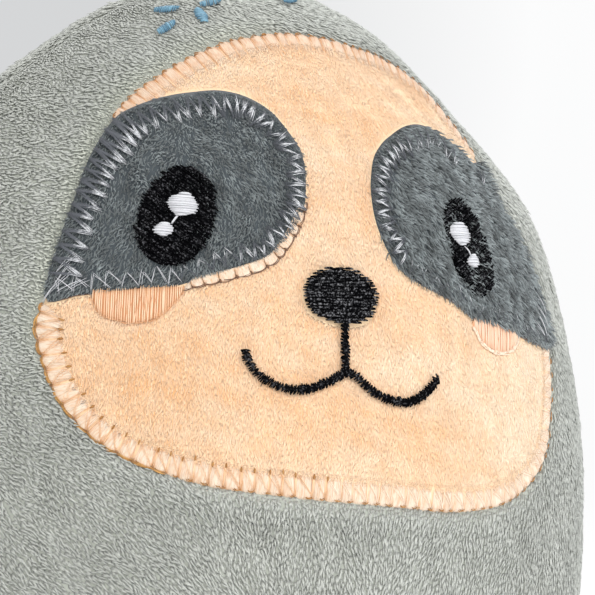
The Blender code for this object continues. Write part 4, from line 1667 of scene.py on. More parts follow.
    def edge_thread(self, edging: Edging, band: Band) -> None:
        """Lays the thread that runs along the border's outer edge, gold and thick at the lower left; where
        it is brown and thin it is partly painted shadow in the edge's gaps.

        Args:
            edging: the stretch.
            band: the stretch, walked.
        """
        rng = np.random.default_rng(edging.seed + 3)
        t = np.linspace(0, 1, 6)
        count = len(band.marks) - 1
        rim_thread = replace(self.rim_thread, finish=BROWN_THREAD) if edging.line else self.rim_thread
        thick = band.read(band.edge[:, 0], np.arange(count) + 0.5) < edging.gold_to
        for title, kept, strands, thread in (("_gold_thread", thick, 3, self.gold_thread),
                                             ("_edge_thread", ~thick, 2, rim_thread)):
            paths = []
            for strand in range(strands if kept.any() else 0):
                start = np.flatnonzero(kept)[:, None] + rng.normal(0, 0.08, (kept.sum(), 1))
                whole = thread is self.gold_thread or edging.line is not None
                reach = rng.uniform(0.75, 1.1, (len(start), 1)) * (1.0 if whole else 0.4)
                phase = np.clip(start + t * reach, 0, count)
                out = 0.1 - 0.2 * strand - 0.3 * np.sin(np.pi * t) * rng.uniform(0.6, 1.2, start.shape)
                paths.append(band.places(phase, out * MM))
            if paths:
                points, normals = self.lift(np.concatenate(paths), self.level + edging.rise)
                piece = thread.lay(edging.title + title, points, normals, "body")


EYE_PATCH_LINES = {
    Side.RIGHT: (
        (-46.5, 228), (-41.5, 231.5), (-35, 234.5), (-28.5, 236.5), (-22.5, 237.5), (-16.5, 237),
        (-12, 234.5), (-9.2, 231), (-6.4, 225), (-6.8, 218), (-8.4, 211.5), (-11.2, 207.2), (-14.2, 203.8),
        (-18.6, 200.2), (-25, 197.4), (-31.5, 194.8), (-38, 191.9), (-43, 191), (-50, 189.5),
        (-57.5, 187.5), (-64, 186), (-60.5, 200), (-56.5, 211), (-53, 219),
    ),
    Side.LEFT: (
        (51.1, 228), (47.6, 227.9), (45.3, 229.2), (42.5, 231), (39.7, 232.8), (36.3, 234.6), (33, 235.4),
        (29, 235.2), (25, 234.2), (20.5, 232),
        (16.5, 229.5), (13, 226), (11, 221.5), (10, 216.5), (10.5, 210.5), (12.5, 205.5),
        (15.5, 201), (21, 198), (28.5, 195.5), (34, 193), (37.5, 191), (48, 189.5), (55, 187.5),
        (67.4, 185.8), (66.5, 193), (64.8, 199.5), (62.3, 205.5), (58.8, 211), (54.5, 216.5), (51.4, 222),
    ),
}
CORNER_STRANDS = {
    Side.RIGHT: (((-64.4, 184.8), 62, 4.5), ((-63.2, 186.6), 50, 8.5), ((-62.4, 188.2), 56, 7.5),
                 ((-61.2, 187.6), 38, 5.5), ((-59.8, 188.0), 34, 5.0), ((-61.6, 191.4), 50, 6.0)),
    Side.LEFT: (((64.6, 187.2), 118, 7.5), ((65.0, 189.4), 122, 6.5), ((63.4, 187.4), 128, 5.5),
                ((65.2, 193.0), 116, 6.0)),
}
HEM_ENDS = {Side.RIGHT: ((-38, 191.5), (-61, 187)), Side.LEFT: ((21, 198), (66, 186))}
FLUFF_FLOW = {
    Side.RIGHT: ((-50, 195, 112), (-40, 225, 84), (-20, 225, 72), (-15, 210, 84), (-30, 197, 92)),
    Side.LEFT: ((20, 220, 64), (50, 215, 56), (30, 198, 72), (58, 192, 66), (40, 228, 56)),
}


@dataclass(frozen=True)
class Trim:
    """How one patch's fluff is cut: where it may run over the edge, and where the zigzag presses it."""

    length: float
    shade: float
    mottle: float
    overrun: float
    spare: float
    least: float
    sewn_from: float


# A Trim's shade is painted shade: the toy's left patch is a little darker than the right one.
TRIMS = {
    Side.RIGHT: Trim(2.1 * MM, shade=1.0, mottle=0.2, overrun=0.6 * MM, spare=0.5 * MM, least=0.25,
                     sewn_from=0.2),
    Side.LEFT: Trim(2.9 * MM, shade=0.95, mottle=0.34, overrun=1.1 * MM, spare=1.0 * MM, least=0.4,
                    sewn_from=0.205),
}


@dataclass(frozen=True)
class Legs:
    """The zigzag's legs on one stretch of a patch's edge, with their strands on each side's patch."""

    piece: str
    pitch: float
    reach: float
    inset: float
    right: int
    left: int

    def strands(self, side: Side) -> int:
        """How many strands a leg has on a side's patch."""
        return self.right if side is Side.RIGHT else self.left


LOWER_LEGS = Legs("_zigzag", 3.1 * MM, 3.4 * MM, 0.2 * MM, 3, 1)
CORNER_LEGS = replace(LOWER_LEGS, piece="_lower_threads", right=2)
MIDDLE_LEGS = Legs("_inner_zigzag", 3.1 * MM, 4.2 * MM, -0.3 * MM, 6, 0)
OUTER_LEGS = Legs("_zigzag", 3.1 * MM, 5.3 * MM, 0.1 * MM, 15, 0)
UPPER_LEGS = Legs("_zigzag", 3.2 * MM, 4.0 * MM, 1.8 * MM, 8, 3)
INNER_LEGS = Legs("_inner_zigzag", 3.2 * MM, 4.7 * MM, -0.2 * MM, 8, 8)
ZIGZAG_THREADS = {"_zigzag": (SILVER_THREAD, 0.8), "_inner_zigzag": (SILVER_THREAD, 0.42),
                  "_lower_threads": (WHITE_THREAD, 0.8)}


@dataclass
class EyePatch(Applique):
    """One dark patch, its fluff, and the silver thread that zigzags round it."""

    side: Side = Side.LEFT
    fluff: Pile = Pile(DARK_PILE, step=0.48 * MM, width=0.44 * MM, height=0.22 * MM, lean=21.0,
                       disorder=20.0, sunk=0.45 * MM, seed=25, swirl=15.0)
    level: float = -0.6 * MM
    inner_reach: float = 24 * MM
    pressed: float = 4.9 * MM
    zigzag_step: float = 0.4 * MM
    zigzag_thread: Thread = Thread(SILVER_THREAD, 0.07 * MM, 0.6)
    hem_thread: Thread = Thread(BROWN_THREAD, 0.13 * MM, 0.9)
    hem_stitch: float = 0.8 * MM
    hem_gap: float = 0.1 * MM
    hem_level: float = -0.62 * MM
    flat_size: tuple[float, float] = (0.062, 0.052)
    flat_area: float = 0.0024

    def build(self) -> None:
        """Builds the patch, its fluff and its threads."""
        outline = self.edge()
        title = self.side.title
        cloth = self.patch(title + "_eye_patch_cloth", outline, DARK_CLOTH, self.cloth_level)
        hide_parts(title + "_eye_patch", title + "_eye_border")
        self.plant(outline)
        self.zigzag(outline)
        self.hem(outline)

    def edge(self) -> Array:
        """The patch's outline."""
        return self.outline(EYE_PATCH_LINES[self.side])

    def cloth_level(self, inner: Array) -> Array:
        """The cloth's level, which dips at its sewn edge."""
        return self.level - 0.12 * MM * held(1 - inner / (3 * MM)) ** 2

    def plant(self, outline: Array) -> None:
        """Plants the patch's fluff.

        Args:
            outline: the patch's outline.
        """
        roots = self.roots(outline, self.fluff.step, 81)
        spots = self.egg.front(roots)
        inner = edge_distance(roots, outline)
        samples = np.array(FLUFF_FLOW[self.side], float)
        gap = ((roots[:, None] / MM - samples[None, :, :2]) ** 2).sum(2) + 20
        flow = (gap ** -1.5 * samples[:, 2]).sum(1) / (gap ** -1.5).sum(1)
        level = self.cloth_level(inner) + self.egg.lumps(spots.point)
        trim = TRIMS[self.side]
        fluff = replace(self.fluff, length=trim.length)
        shade = trim.shade * (1.0 + trim.mottle * ripple(spots.point, 4.5 * MM, 82))
        turn = np.radians(flow)[:, None]
        tips = roots + fluff.length * np.hstack([np.cos(turn), -np.sin(turn)])
        over = edge_distance(tips, outline) < -trim.overrun
        loose = (roots[:, 0] > 45 * MM) & (roots[:, 1] > PATCH_FOOT)
        cropped = np.where(over & ~loose, np.clip((inner + trim.spare) / fluff.length, trim.least, 1), 1.0)
        beside = roots[:, 0] * self.side.value < self.inner_reach
        sewn = beside & (inner < self.pressed)
        sewn = sewn * fade_in(roots[:, 1], trim.sewn_from, 7 * MM)
        cropped = np.where(sewn > 0, np.minimum(cropped, 1 - 0.5 * sewn), cropped)
        # Painted shade where the zigzag presses the fluff flat, and in the dent along the inner edge.
        dent = np.exp(-((inner - 5 * MM) / (0.8 * MM)) ** 2)
        shade = shade * (1 - 0.18 * sewn) * (1 - 0.1 * beside * dent)
        level = level + fluff.sunk - 0.25 * MM * (1.5 * cropped - 0.5)
        piece = fluff.plant(self.side.title + "_eye_patch_fluff", spots, flow, "body", level, shade,
                            cropped=cropped)

    def legs(self, place: Array, way: Array) -> Legs:
        """Chooses the legs at a place on the patch's edge.

        Args:
            place: across and height.
            way: the direction into the patch.

        Returns:
            The legs that lie there.
        """
        near_side = self.side is Side.RIGHT
        off_middle = place[0] * self.side.value
        if way[1] > 0.62:
            if near_side and off_middle > 38 * MM:
                return CORNER_LEGS
            return MIDDLE_LEGS if near_side and off_middle < 27 * MM else LOWER_LEGS
        if -way[0] * self.side.value > 0.5 and off_middle > 44 * MM:
            return OUTER_LEGS
        if off_middle >= self.inner_reach:
            return UPPER_LEGS
        rising = fade_in(place[1], 0.215 if near_side else 0.22, 15 * MM)
        return replace(INNER_LEGS, inset=(-0.2 + 2.2 * rising) * MM)

    def zigzag(self, outline: Array) -> None:
        """Lays the shining legs round the patch: dense outside, inset above, in pale pairs below.

        Args:
            outline: the patch's outline.
        """
        rng = np.random.default_rng(91 + self.side.value)
        step = self.zigzag_step
        edge, heading = walk(outline, step, closed=True)
        inward = np.stack([-heading[:, 1], heading[:, 0]], axis=1)
        made = {piece: [] for piece in ZIGZAG_THREADS}
        place = 0.0
        while place < len(edge) * step:
            here = int(place / step) % len(edge)
            way, ahead = inward[here], heading[here]
            legs = self.legs(edge[here], way)
            pitch, reach = legs.pitch * rng.uniform(0.8, 1.2), legs.reach * rng.uniform(0.8, 1.1)
            near = edge[here] + way * (legs.inset + rng.uniform(0, 0.6) * MM)
            deep = near + way * reach + ahead * pitch / 2
            after = near + ahead * pitch
            narrow = edge_distance(deep[None], outline)[0] < 1.6 * MM
            for _ in range(0 if narrow else legs.strands(self.side)):
                spread = rng.normal(0, 0.26 * MM, (4, 2))
                made[legs.piece].append((near + spread[0], deep + spread[1]))
                made[legs.piece].append((after + spread[3], deep + spread[2]))
            place += pitch
        made["_lower_threads"] += self.corner_strands(rng)
        t = np.linspace(0, 1, 6)
        height = self.level + 0.6 * MM + 0.45 * MM * np.sin(np.pi * t) + 0.4 * MM * (1 - t)
        for title, (finish, crest) in ZIGZAG_THREADS.items():
            points, normals = self.lift(between_ends(np.array(made[title]), t), height)
            name = self.side.title + "_eye_patch" + title
            thread = replace(self.zigzag_thread, finish=finish, crest=crest)
            piece = thread.lay(name, points, normals, "body")

    def corner_strands(self, rng: np.random.Generator) -> list[tuple[Array, Array]]:
        """The long strands at the patch's outer lower corner, as pairs of ends.

        Args:
            rng: draws their disorder.

        Returns:
            The pairs.
        """
        made = []
        for start, degrees, reach in CORNER_STRANDS[self.side]:
            turn = math.radians(degrees)
            way = np.array([math.cos(turn), math.sin(turn)])
            for _ in range(2):
                near = np.array(start) * MM + rng.normal(0, 0.2 * MM, 2)
                made.append((near, near + way * reach * MM + rng.normal(0, 0.3 * MM, 2)))
        return made

    def hem(self, outline: Array) -> None:
        """Lays the brown thread beside the patch's inner and lower edges; it also stands in for the shadow
        under the patch's edge, so it is partly painted shadow.

        Args:
            outline: the patch's outline.
        """
        line = outline[::-1] if self.side is Side.RIGHT else outline
        edge, heading = walk(piece_of_line(line, *HEM_ENDS[self.side]), self.hem_stitch)
        outward = np.stack([heading[:, 1], -heading[:, 0]], axis=1)
        away = edge_distance(edge + outward * 0.5 * MM, outline)
        outward = outward * np.where(away < 0, 1, -1)[:, None]
        bow = np.abs(np.sin(np.arange(len(edge)) * np.pi / 4))
        path = edge + outward * (self.hem_gap * (1 - 0.18 * bow))[:, None]
        pairs = between_ends(np.stack([path[:-1], path[1:]], axis=1), np.linspace(-0.05, 1.05, 4))
        points, normals = self.lift(pairs, self.hem_level)
        name = self.side.title + "_eye_patch_hem"
        self.hem_thread.lay(name, points, normals, "body")


PUPIL_LINES = {
    Side.RIGHT: (
        (-33.5, 218.3), (-30.3, 217), (-28.7, 213.5), (-29, 209), (-30.2, 204.8), (-33.2, 199.5),
        (-36.5, 197), (-40.5, 196), (-44.3, 197.7), (-45.6, 202), (-44.8, 207), (-42.8, 211.2),
        (-38.5, 216.2),
    ),
    Side.LEFT: (
        (33.8, 218), (37, 217.2), (39.2, 215.6), (41.2, 211.5), (43.2, 207.5), (44.1, 202.5), (43, 198.2),
        (39.8, 195.8), (35.8, 198.2), (32.6, 201.8), (31.2, 205.6), (30.3, 209.5), (30.2, 213.5),
        (31.4, 216.5),
    ),
}
GLINT_LINES = {
    (Side.RIGHT, "large"): ((-35, 212.4), (-33.3, 211.7), (-32.4, 209.6), (-33.3, 207.8), (-35.5, 206.9),
                            (-37.3, 206.7), (-38.5, 207.9), (-39, 209.3), (-38.4, 211)),
    (Side.RIGHT, "small"): ((-39.8, 205.3), (-38.4, 204.8), (-37.9, 203.8), (-39, 202.5), (-40.6, 201.9),
                            (-42, 202.5), (-42.2, 203.4), (-41.4, 204.6)),
    (Side.LEFT, "large"): ((32.9, 212.5), (35.5, 212), (36.9, 210.2), (36.4, 207.9), (33.9, 206.7),
                           (31.6, 208), (30.3, 209.6), (30.7, 211.4)),
    (Side.LEFT, "small"): ((36.5, 205.3), (38.5, 204.8), (39.1, 203.6), (37.8, 202.2), (35.8, 202.4),
                           (35.1, 203.7)),
}
GLINT_LINKS = {Side.RIGHT: ((-37.1, 206.9), (-38.5, 205.0)), Side.LEFT: ((34.4, 206.9), (36.1, 204.8))}


@dataclass
class Eye(Applique):
    """One embroidered eye with its two glints."""

    side: Side = Side.LEFT
    level: float = 0.15 * MM
    satin: Satin = Satin(32.0, 0.6 * MM, 3.2 * MM, 0.8 * MM, 101, 0.24 * MM)
    glint_satin: Satin = Satin(3.0, 0.5 * MM, 8 * MM, 0.3 * MM, 102, 0.34 * MM)
    glint_share: float = 0.9
    pad_step: float = 1.1 * MM
    pad_thickness: float = 0.5 * MM
    glint_pad_step: float = 1.0 * MM
    glint_pad_thickness: float = 0.3 * MM
    thread: Thread = Thread(BLACK_THREAD, 0.32 * MM)
    glint_thread: Thread = Thread(WHITE_THREAD, 0.3 * MM, 0.5)
    link_thread: Thread = Thread(WHITE_THREAD, 0.16 * MM, 0.6)

    def build(self) -> None:
        """Builds the eye's pad, its threads and its glints."""
        title = self.side.title
        pupil = self.outline(PUPIL_LINES[self.side], 0.9 * MM)
        pad = self.patch(title + "_eye_pad", pupil, BLACK_THREAD, self.pad_level, self.pad_step,
                         self.pad_thickness)
        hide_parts(title + "_eye")
        satin = replace(self.satin, lie=self.satin.lie * self.side.value)
        paths, normals = self.fill(pupil, satin, self.level + 0.1 * MM)
        self.thread.lay(title + "_eye_threads", paths, normals, "body")
        for number, name in enumerate(("large", "small")):
            shape = self.outline(GLINT_LINES[self.side, name], 0.4 * MM)
            shape = shape.mean(0) + (shape - shape.mean(0)) * self.glint_share
            under = self.patch("%s_eye_%s_glint_pad" % (title, name), shape, WHITE_THREAD, self.glint_level,
                               self.glint_pad_step, self.glint_pad_thickness)
            satin = replace(self.glint_satin, seed=self.glint_satin.seed + number)
            paths, normals = self.fill(shape, satin, self.level + 0.62 * MM)
            piece = self.glint_thread.lay("%s_eye_%s_glint_threads" % (title, name), paths, normals, "body")
            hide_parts("%s_eye_%s_glint" % (title, name))
        self.link()

    def link(self) -> None:
        """Lays the stray thread that joins the eye's two glints."""
        ends = np.array([GLINT_LINKS[self.side]]) * MM
        ends = np.concatenate([ends, ends + (0.15 * MM, -0.1 * MM)])
        t = np.linspace(0, 1, 6)
        points, normals = self.lift(between_ends(ends, t), self.level + (0.7 + 0.3 * np.sin(np.pi * t)) * MM)
        name = self.side.title + "_eye_link_thread"
        self.link_thread.lay(name, points, normals, "body")

    def pad_level(self, inner: Array) -> Array:
        """The pad's level, a little domed."""
        return self.level - 0.25 * MM * held(1 - inner / (2 * MM))

    def glint_level(self, inner: Array) -> Array:
        """The level of a glint's pad, just under its threads."""
        return self.level + 0.88 * MM * np.clip(inner / (0.8 * MM), 0.7, 1)


NOSE_LINE = (
    (-9.8, 193.4), (-9, 195.6), (-7, 197.6), (-4.3, 199), (-1.1, 199.7), (1.3, 199.5), (4.1, 198.8),
    (6.9, 197.0), (8.6, 194), (7.8, 190.6), (5.2, 188), (0.5, 187.1), (-3, 187.1), (-5.1, 187.7),
    (-7.6, 188.6), (-9, 190.2),
)
MOUTH_LINES = (
    ((-0.1, 187.5), (-0.2, 182), (-0.3, 176.5)),
    ((-0.3, 176.5), (-4.7, 173.9), (-9.9, 171.9), (-14.9, 171.7), (-18.9, 172.9), (-21.7, 174.8),
     (-23.4, 177.3), (-23.7, 179)),
    ((-0.3, 176.5), (1.8, 176.0), (4.6, 174), (7.8, 172.2), (11.5, 171.0), (15.4, 170.8), (18.9, 172.0),
     (22, 174.2), (24.3, 176.6)),
)


@dataclass
class NoseAndMouth(Applique):
    """The embroidered nose and the mouth's two bows."""

    level: float = -0.1 * MM
    satin: Satin = Satin(4.0, 0.62 * MM, 2.4 * MM, 0.45 * MM, 111, 0.3 * MM)
    thread: Thread = Thread(NOSE_THREAD, 0.34 * MM, 0.5)
    pad_share: float = 0.92
    pad_step: float = 1.1 * MM
    pad_thickness: float = 0.6 * MM
    line_thread: Thread = Thread(BLACK_THREAD, 0.3 * MM, 0.5)
    line_width: float = 2.1 * MM
    line_step: float = 0.42 * MM

    def build(self) -> None:
        """Builds the nose and the mouth."""
        outline = self.outline(NOSE_LINE, 0.9 * MM)
        inset = outline.mean(0) + (outline - outline.mean(0)) * self.pad_share
        pad = self.patch("nose_pad", inset, NOSE_THREAD, self.pad_level, self.pad_step, self.pad_thickness)
        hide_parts("nose")
        paths, normals = self.fill(outline, self.satin, self.level + 0.25 * MM)
        self.thread.lay("nose_threads", paths, normals, "body")
        self.mouth()

    def pad_level(self, inner: Array) -> Array:
        """The nose's level, domed."""
        return self.level + 0.25 * MM * held(inner / (3 * MM)) ** 0.5

    def mouth(self) -> None:
        """Lays the mouth's short cross stitches along its three lines."""
        rng = np.random.default_rng(112)
        t = np.linspace(-1, 1, 5)
        paths = []
        for points in MOUTH_LINES:
            middle, heading = walk(smooth_line(points, 8) * MM, self.line_step)
            lean = rng.normal(0.25, 0.18, len(middle))[:, None]
            across = unit(np.stack([-heading[:, 1], heading[:, 0]], axis=1) + heading * lean)
            half = self.line_width / 2 * rng.uniform(0.85, 1.15, (len(middle), 1))
            shift = rng.normal(0, 0.1 * MM, (len(middle), 1))
            paths.append(middle[:, None] + across[:, None] * (t * half + shift)[:, :, None])
        places = np.concatenate(paths)
        height = self.level - 0.1 * MM + 0.45 * MM * np.cos(np.pi / 2 * t)
        points, normals = self.lift(places, np.broadcast_to(height, places.shape[:2]))
        piece = self.line_thread.lay("mouth_threads", points, normals, "body")
        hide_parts("mouth")


CHEEK_LINES = {
    Side.RIGHT: ((-54.9, 188.6), (-53.7, 184.1), (-50.5, 183), (-47.7, 182.7), (-44.5, 183.4),
                 (-41.7, 184.9), (-38.8, 188), (-36.8, 191.5), (-43, 190.8), (-50, 189.3)),
    Side.LEFT: ((37.5, 190.8), (38.3, 188), (39.8, 186), (42.5, 184.6), (45.8, 184), (48.8, 184.4),
                (51, 185.6), (52.3, 188.2), (48, 189.4)),
}


@dataclass
class Cheek(Applique):
    """One blushing cheek of upright satin stitches."""

    side: Side = Side.LEFT
    level: float = -0.45 * MM
    satin: Satin = Satin(86.0, 0.44 * MM, 5 * MM, 0.5 * MM, 121, 0.16 * MM)
    thread: Thread = Thread(BLUSH_THREAD, 0.19 * MM, 0.6)
    rim_thread: Thread = Thread(BLUSH_GROUND, 0.17 * MM, 0.7)
    pad_step: float = 1.2 * MM
    pad_thickness: float = 0.4 * MM

    def build(self) -> None:
        """Builds the cheek's threads."""
        outline = self.outline(CHEEK_LINES[self.side], 0.9 * MM)
        title = self.side.title
        pale = self.side is Side.LEFT
        ground = PALE_BLUSH_GROUND if pale else BLUSH_GROUND
        pad = self.patch(title + "_cheek_pad", outline, ground, self.pad_level, self.pad_step,
                         self.pad_thickness)
        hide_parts(title + "_cheek")
        paths, normals = self.fill(outline, self.satin, self.level)
        thread = replace(self.thread, finish=PALE_BLUSH_THREAD) if pale else self.thread
        piece = thread.lay(title + "_cheek_threads", paths, normals, "body")
        self.rim(outline)

    def rim(self, outline: Array) -> None:
        """Lays short threads along the cheek's lower edge.

        Args:
            outline: the cheek's outline.
        """
        rng = np.random.default_rng(122)
        edge, heading = walk(outline, 0.9 * MM, closed=True)
        inward = np.stack([-heading[:, 1], heading[:, 0]], axis=1)
        low = inward[:, 1] > 0.1
        pale = self.side is Side.LEFT
        paths = []
        for strand in range(3 if pale else 1):
            near = edge[low] - inward[low] * (0.15 + 0.3 * strand) * MM
            near = near + rng.normal(0, 0.08 * MM, (low.sum(), 2))
            ends = np.stack([near, near + heading[low] * 1.1 * MM], axis=1)
            paths.append(between_ends(ends, np.linspace(0, 1, 4)))
        points, normals = self.lift(np.concatenate(paths), self.level - 0.1 * MM)
        thread = replace(self.rim_thread, finish=WHITE_PEACH_THREAD) if pale else self.rim_thread
        piece = thread.lay(self.side.title + "_cheek_rim", points, normals, "body")

    def pad_level(self, inner: Array) -> Array:
        """The pad's level, flat."""
        return np.full(len(inner), self.level)


LEAVES = ((-29.5, 250.6, 62), (-27.5, 255.2, 20), (-21.0, 254.4, 118), (-17.5, 258.0, 40), (3.4, 261.3, 30))


@dataclass
class Sprig(Applique):
    """A few small satin leaves in blue thread on the crown."""

    half_length: float = 3.1 * MM
    half_width: float = 1.25 * MM
    satin: Satin = Satin(68.0, 0.42 * MM, 5 * MM, 0.2 * MM, 131)
    thread: Thread = Thread(BLUE_THREAD, 0.24 * MM, 0.6)
    level: float = 0.2 * MM
    arc: float = 0.45 * MM

    def build(self) -> None:
        """Builds the leaves, each filled with slanted rows on the cloth under it."""
        turn = np.linspace(0, 2 * np.pi, 25)[:-1]
        lens = np.stack([self.half_length * np.cos(turn),
                         self.half_width * np.sin(turn) * np.abs(np.sin(turn)) ** 0.3], axis=1)
        t = np.linspace(0, 1, 5)
        centres = self.egg.front(np.array([leaf[:2] for leaf in LEAVES]) * MM)
        paths, normals = [], []
        for number, leaf in enumerate(LEAVES):
            lean = math.radians(leaf[2])
            satin = replace(self.satin, seed=self.satin.seed + number)
            rows = between_ends(self.rows(lens, satin), t)
            across = rows[..., 0] * math.cos(lean) - rows[..., 1] * math.sin(lean)
            up = rows[..., 0] * math.sin(lean) + rows[..., 1] * math.cos(lean)
            level = self.level + self.arc * np.sin(np.pi * t)
            spot = centres[np.array([number])]
            paths.append(spot.point + across[..., None] * spot.around + up[..., None] * spot.up
                         + level[:, None] * spot.normal)
            normals.append(np.broadcast_to(spot.normal, paths[-1].shape))
        piece = self.thread.lay("crown_leaf_threads", np.concatenate(paths), np.concatenate(normals), "body")


@dataclass
class LimbForm(Form):
    """An arm or a foot about its hinge, which points down before it is turned."""

    root_radius: float
    end_radius: float
    reach: float
    width_share: float
    across: bool
    hinge: tuple[float, float, float]
    turn: tuple[float, float, float]
    floor: float = math.inf
    outline_shares: Line = ((0.93, 0.20), (1.0, 0.58), (0.90, 0.82), (0.55, 0.96), (0.0, 1.0))

    def __post_init__(self) -> None:
        """Draws the profile from the limb's end up to its root's round cap."""
        quarter = np.linspace(0, np.pi / 2, 7)[:-1]
        cap = np.stack([np.sin(quarter), np.cos(quarter)], axis=1) * self.root_radius
        shares = np.array(self.outline_shares) * (self.end_radius, -self.reach)
        sleeve = smooth_line([(self.root_radius, 0.0), *shares], 8)
        self.profile = np.vstack([cap, sleeve])[::-1]
        self.place = Matrix.Translation(self.hinge) @ Euler(self.turn).to_matrix().to_4x4()

    def section(self, radius: Array, height: Array, angle: Array) -> Array:
        """The limb's oval section: an arm's inner side stays level, and a foot's sole is flat.

        Args:
            radius: half the limb's width.
            height: the height over its hinge.
            angle: the bearing about its axis.

        Returns:
            The points, one row each.
        """
        across, along = radius * np.cos(angle), radius * np.sin(angle)
        if self.across:
            across = across * self.width_share
        else:
            along = along * self.width_share
            across = across + np.maximum(radius - self.root_radius, 0)
        return np.stack([across, np.minimum(along, self.floor), height], axis=1)


@dataclass
class Limb:
    """An arm or a foot with its cloth, its pile and three soft claws."""

    title: str
    form: LimbForm
    aside: tuple[float, float, float]
    pile: Pile = Pile(GREY_PILE, step=0.98 * MM, length=2.5 * MM, width=0.86 * MM, height=0.45 * MM,
                      lean=22.0, disorder=16.0, sunk=0.9 * MM, seed=45)
    nap: Pile = Pile(CREAM_PILE, step=0.62 * MM, length=1.3 * MM, width=0.6 * MM, height=0.22 * MM,
                     lean=20.0, disorder=18.0, sunk=0.3 * MM, seed=46)
    cloth_level: float = -1.2 * MM
    cloth_thickness: float = 0.5 * MM
    claw_cloth_level: float = -0.5 * MM
    claw_cloth_thickness: float = 0.4 * MM
    claw_radius: float = 0.0042
    claw_length: float = 0.017
    claw_shown: float = 0.009
    claw_splay: float = 11.0
    claw_spacing_share: float = 0.58
    claw_shares: Line = ((0.0, 0.0), (0.85, 0.14), (1.0, 0.38), (0.78, 0.66), (0.42, 0.90), (0.0, 1.0))

    def build(self) -> None:
        """Builds the limb's cloth, its pile and its claws."""
        angle, share, faces = self.form.sheet(40, 40, 0.003, 0.997)
        spots = self.form.spots(angle, share)
        cloth = make_piece(self.title + "_cloth", spots.raised(self.cloth_level), faces, GREY_CLOTH,
                           self.title)
        thicken(cloth, self.cloth_thickness)
        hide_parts(self.title + "_skin", self.title + "_stuffing")
        angle, share = self.form.scatter(self.pile.step, 47)
        spots = self.form.spots(angle, share)
        shade = 0.98 + 0.04 * ripple(spots.point, 12 * MM, 48)
        pile = self.pile.plant(self.title + "_pile", spots, np.full(len(angle), 90.0), self.title,
                               -0.1 * MM, shade)
        for number in (1, 2, 3):
            self.claw(number)

    def claw(self, number: int) -> None:
        """Builds one claw and its nap.

        Args:
            number: 1, 2 or 3 across the limb.
        """
        form = ClawForm(self, number - 2)
        name = "%s_claw_cloth_%d" % (self.title, number)
        angle, share, faces = form.sheet(20, 20, 0.004, 0.996)
        spots = form.spots(angle, share)
        cloth = make_piece(name, spots.raised(self.claw_cloth_level), faces, CREAM_CLOTH, self.title)
        thicken(cloth, self.claw_cloth_thickness)
        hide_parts("%s_claw_%d" % (self.title, number))
        angle, share = form.scatter(self.nap.step, 49 + number)
        spots = form.spots(angle, share)
        nap = self.nap.plant(name.replace("cloth", "nap"), spots, np.full(len(angle), 90.0), self.title,
                             -0.2 * MM)


class ClawForm(Form):
    """One claw at a limb's end, splayed from the middle one."""

    def __init__(self, limb: Limb, place: int) -> None:
        """Draws the claw's profile and puts it in its place among the three.

        Args:
            limb: the limb that it ends.
            place: -1, 0 or 1 across the limb.
        """
        shares = np.array(limb.claw_shares) * (limb.claw_radius, -limb.claw_length)
        self.profile = smooth_line(shares, 6)[::-1]
        self.profile[:, 0] = np.maximum(self.profile[:, 0], 0)
        aside = Vector(limb.aside)
        spread = limb.form.end_radius * limb.form.width_share * limb.claw_spacing_share
        down = limb.claw_length - limb.claw_shown - limb.form.reach
        where = Matrix.Translation(aside * place * spread + Vector((0, 0, down)))
        turn = aside.cross(Vector((0, 0, 1))) * place * math.radians(limb.claw_splay)
        self.place = limb.form.place @ where @ Euler(turn).to_matrix().to_4x4()

    def section(self, radius: Array, height: Array, angle: Array) -> Array:
        """A round section."""
        return np.stack([radius * np.cos(angle), radius * np.sin(angle), height], axis=1)


ARM_HINGE = (0.10647, -0.01877, 0.095)
FOOT_HINGE = (0.04156, -0.08156, 0.017)
ARM_BEARING = 80.0
FOOT_SPLAY = 14.0


def limbs() -> list[Limb]:
    """The two arms and the two feet, on their hinges.

    Returns:
        The four limbs.
    """
    made = []
    for side in Side:
        sign = side.value
        arm = LimbForm(root_radius=0.012, end_radius=0.016, reach=0.070, width_share=1.25, across=False,
                       hinge=(ARM_HINGE[0] * sign, *ARM_HINGE[1:]),
                       turn=(0.0, 0.0, math.radians(sign * ARM_BEARING - 90)))
        foot = LimbForm(root_radius=0.017, end_radius=0.0175, reach=0.038, width_share=1.3, across=True,
                        hinge=(FOOT_HINGE[0] * sign, *FOOT_HINGE[1:]),
                        turn=(-math.pi / 2, 0.0, math.radians(sign * FOOT_SPLAY)), floor=0.017)
        made += [Limb(side.title + "_arm", arm, (0, 1, 0)), Limb(side.title + "_foot", foot, (1, 0, 0))]
    return made


@dataclass(frozen=True)
class Lamp:
    """A soft lamp that shines at the toy: its place, its side, its power in watts and its colour."""

    name: str
    place: tuple[float, float, float]
    size: float
    power: float
    tone: Colour


LAMPS = (
    Lamp("key", (-0.7, -1.2, 1.15), 1.1, 11.6, (1.0, 0.985, 0.955)),
    Lamp("fill", (1.1, -0.9, 0.7), 1.1, 8.0, (0.965, 0.985, 1.0)),
    Lamp("rim", (0.3, 1.3, 1.2), 0.9, 7.0, (1.0, 1.0, 1.0)),
)


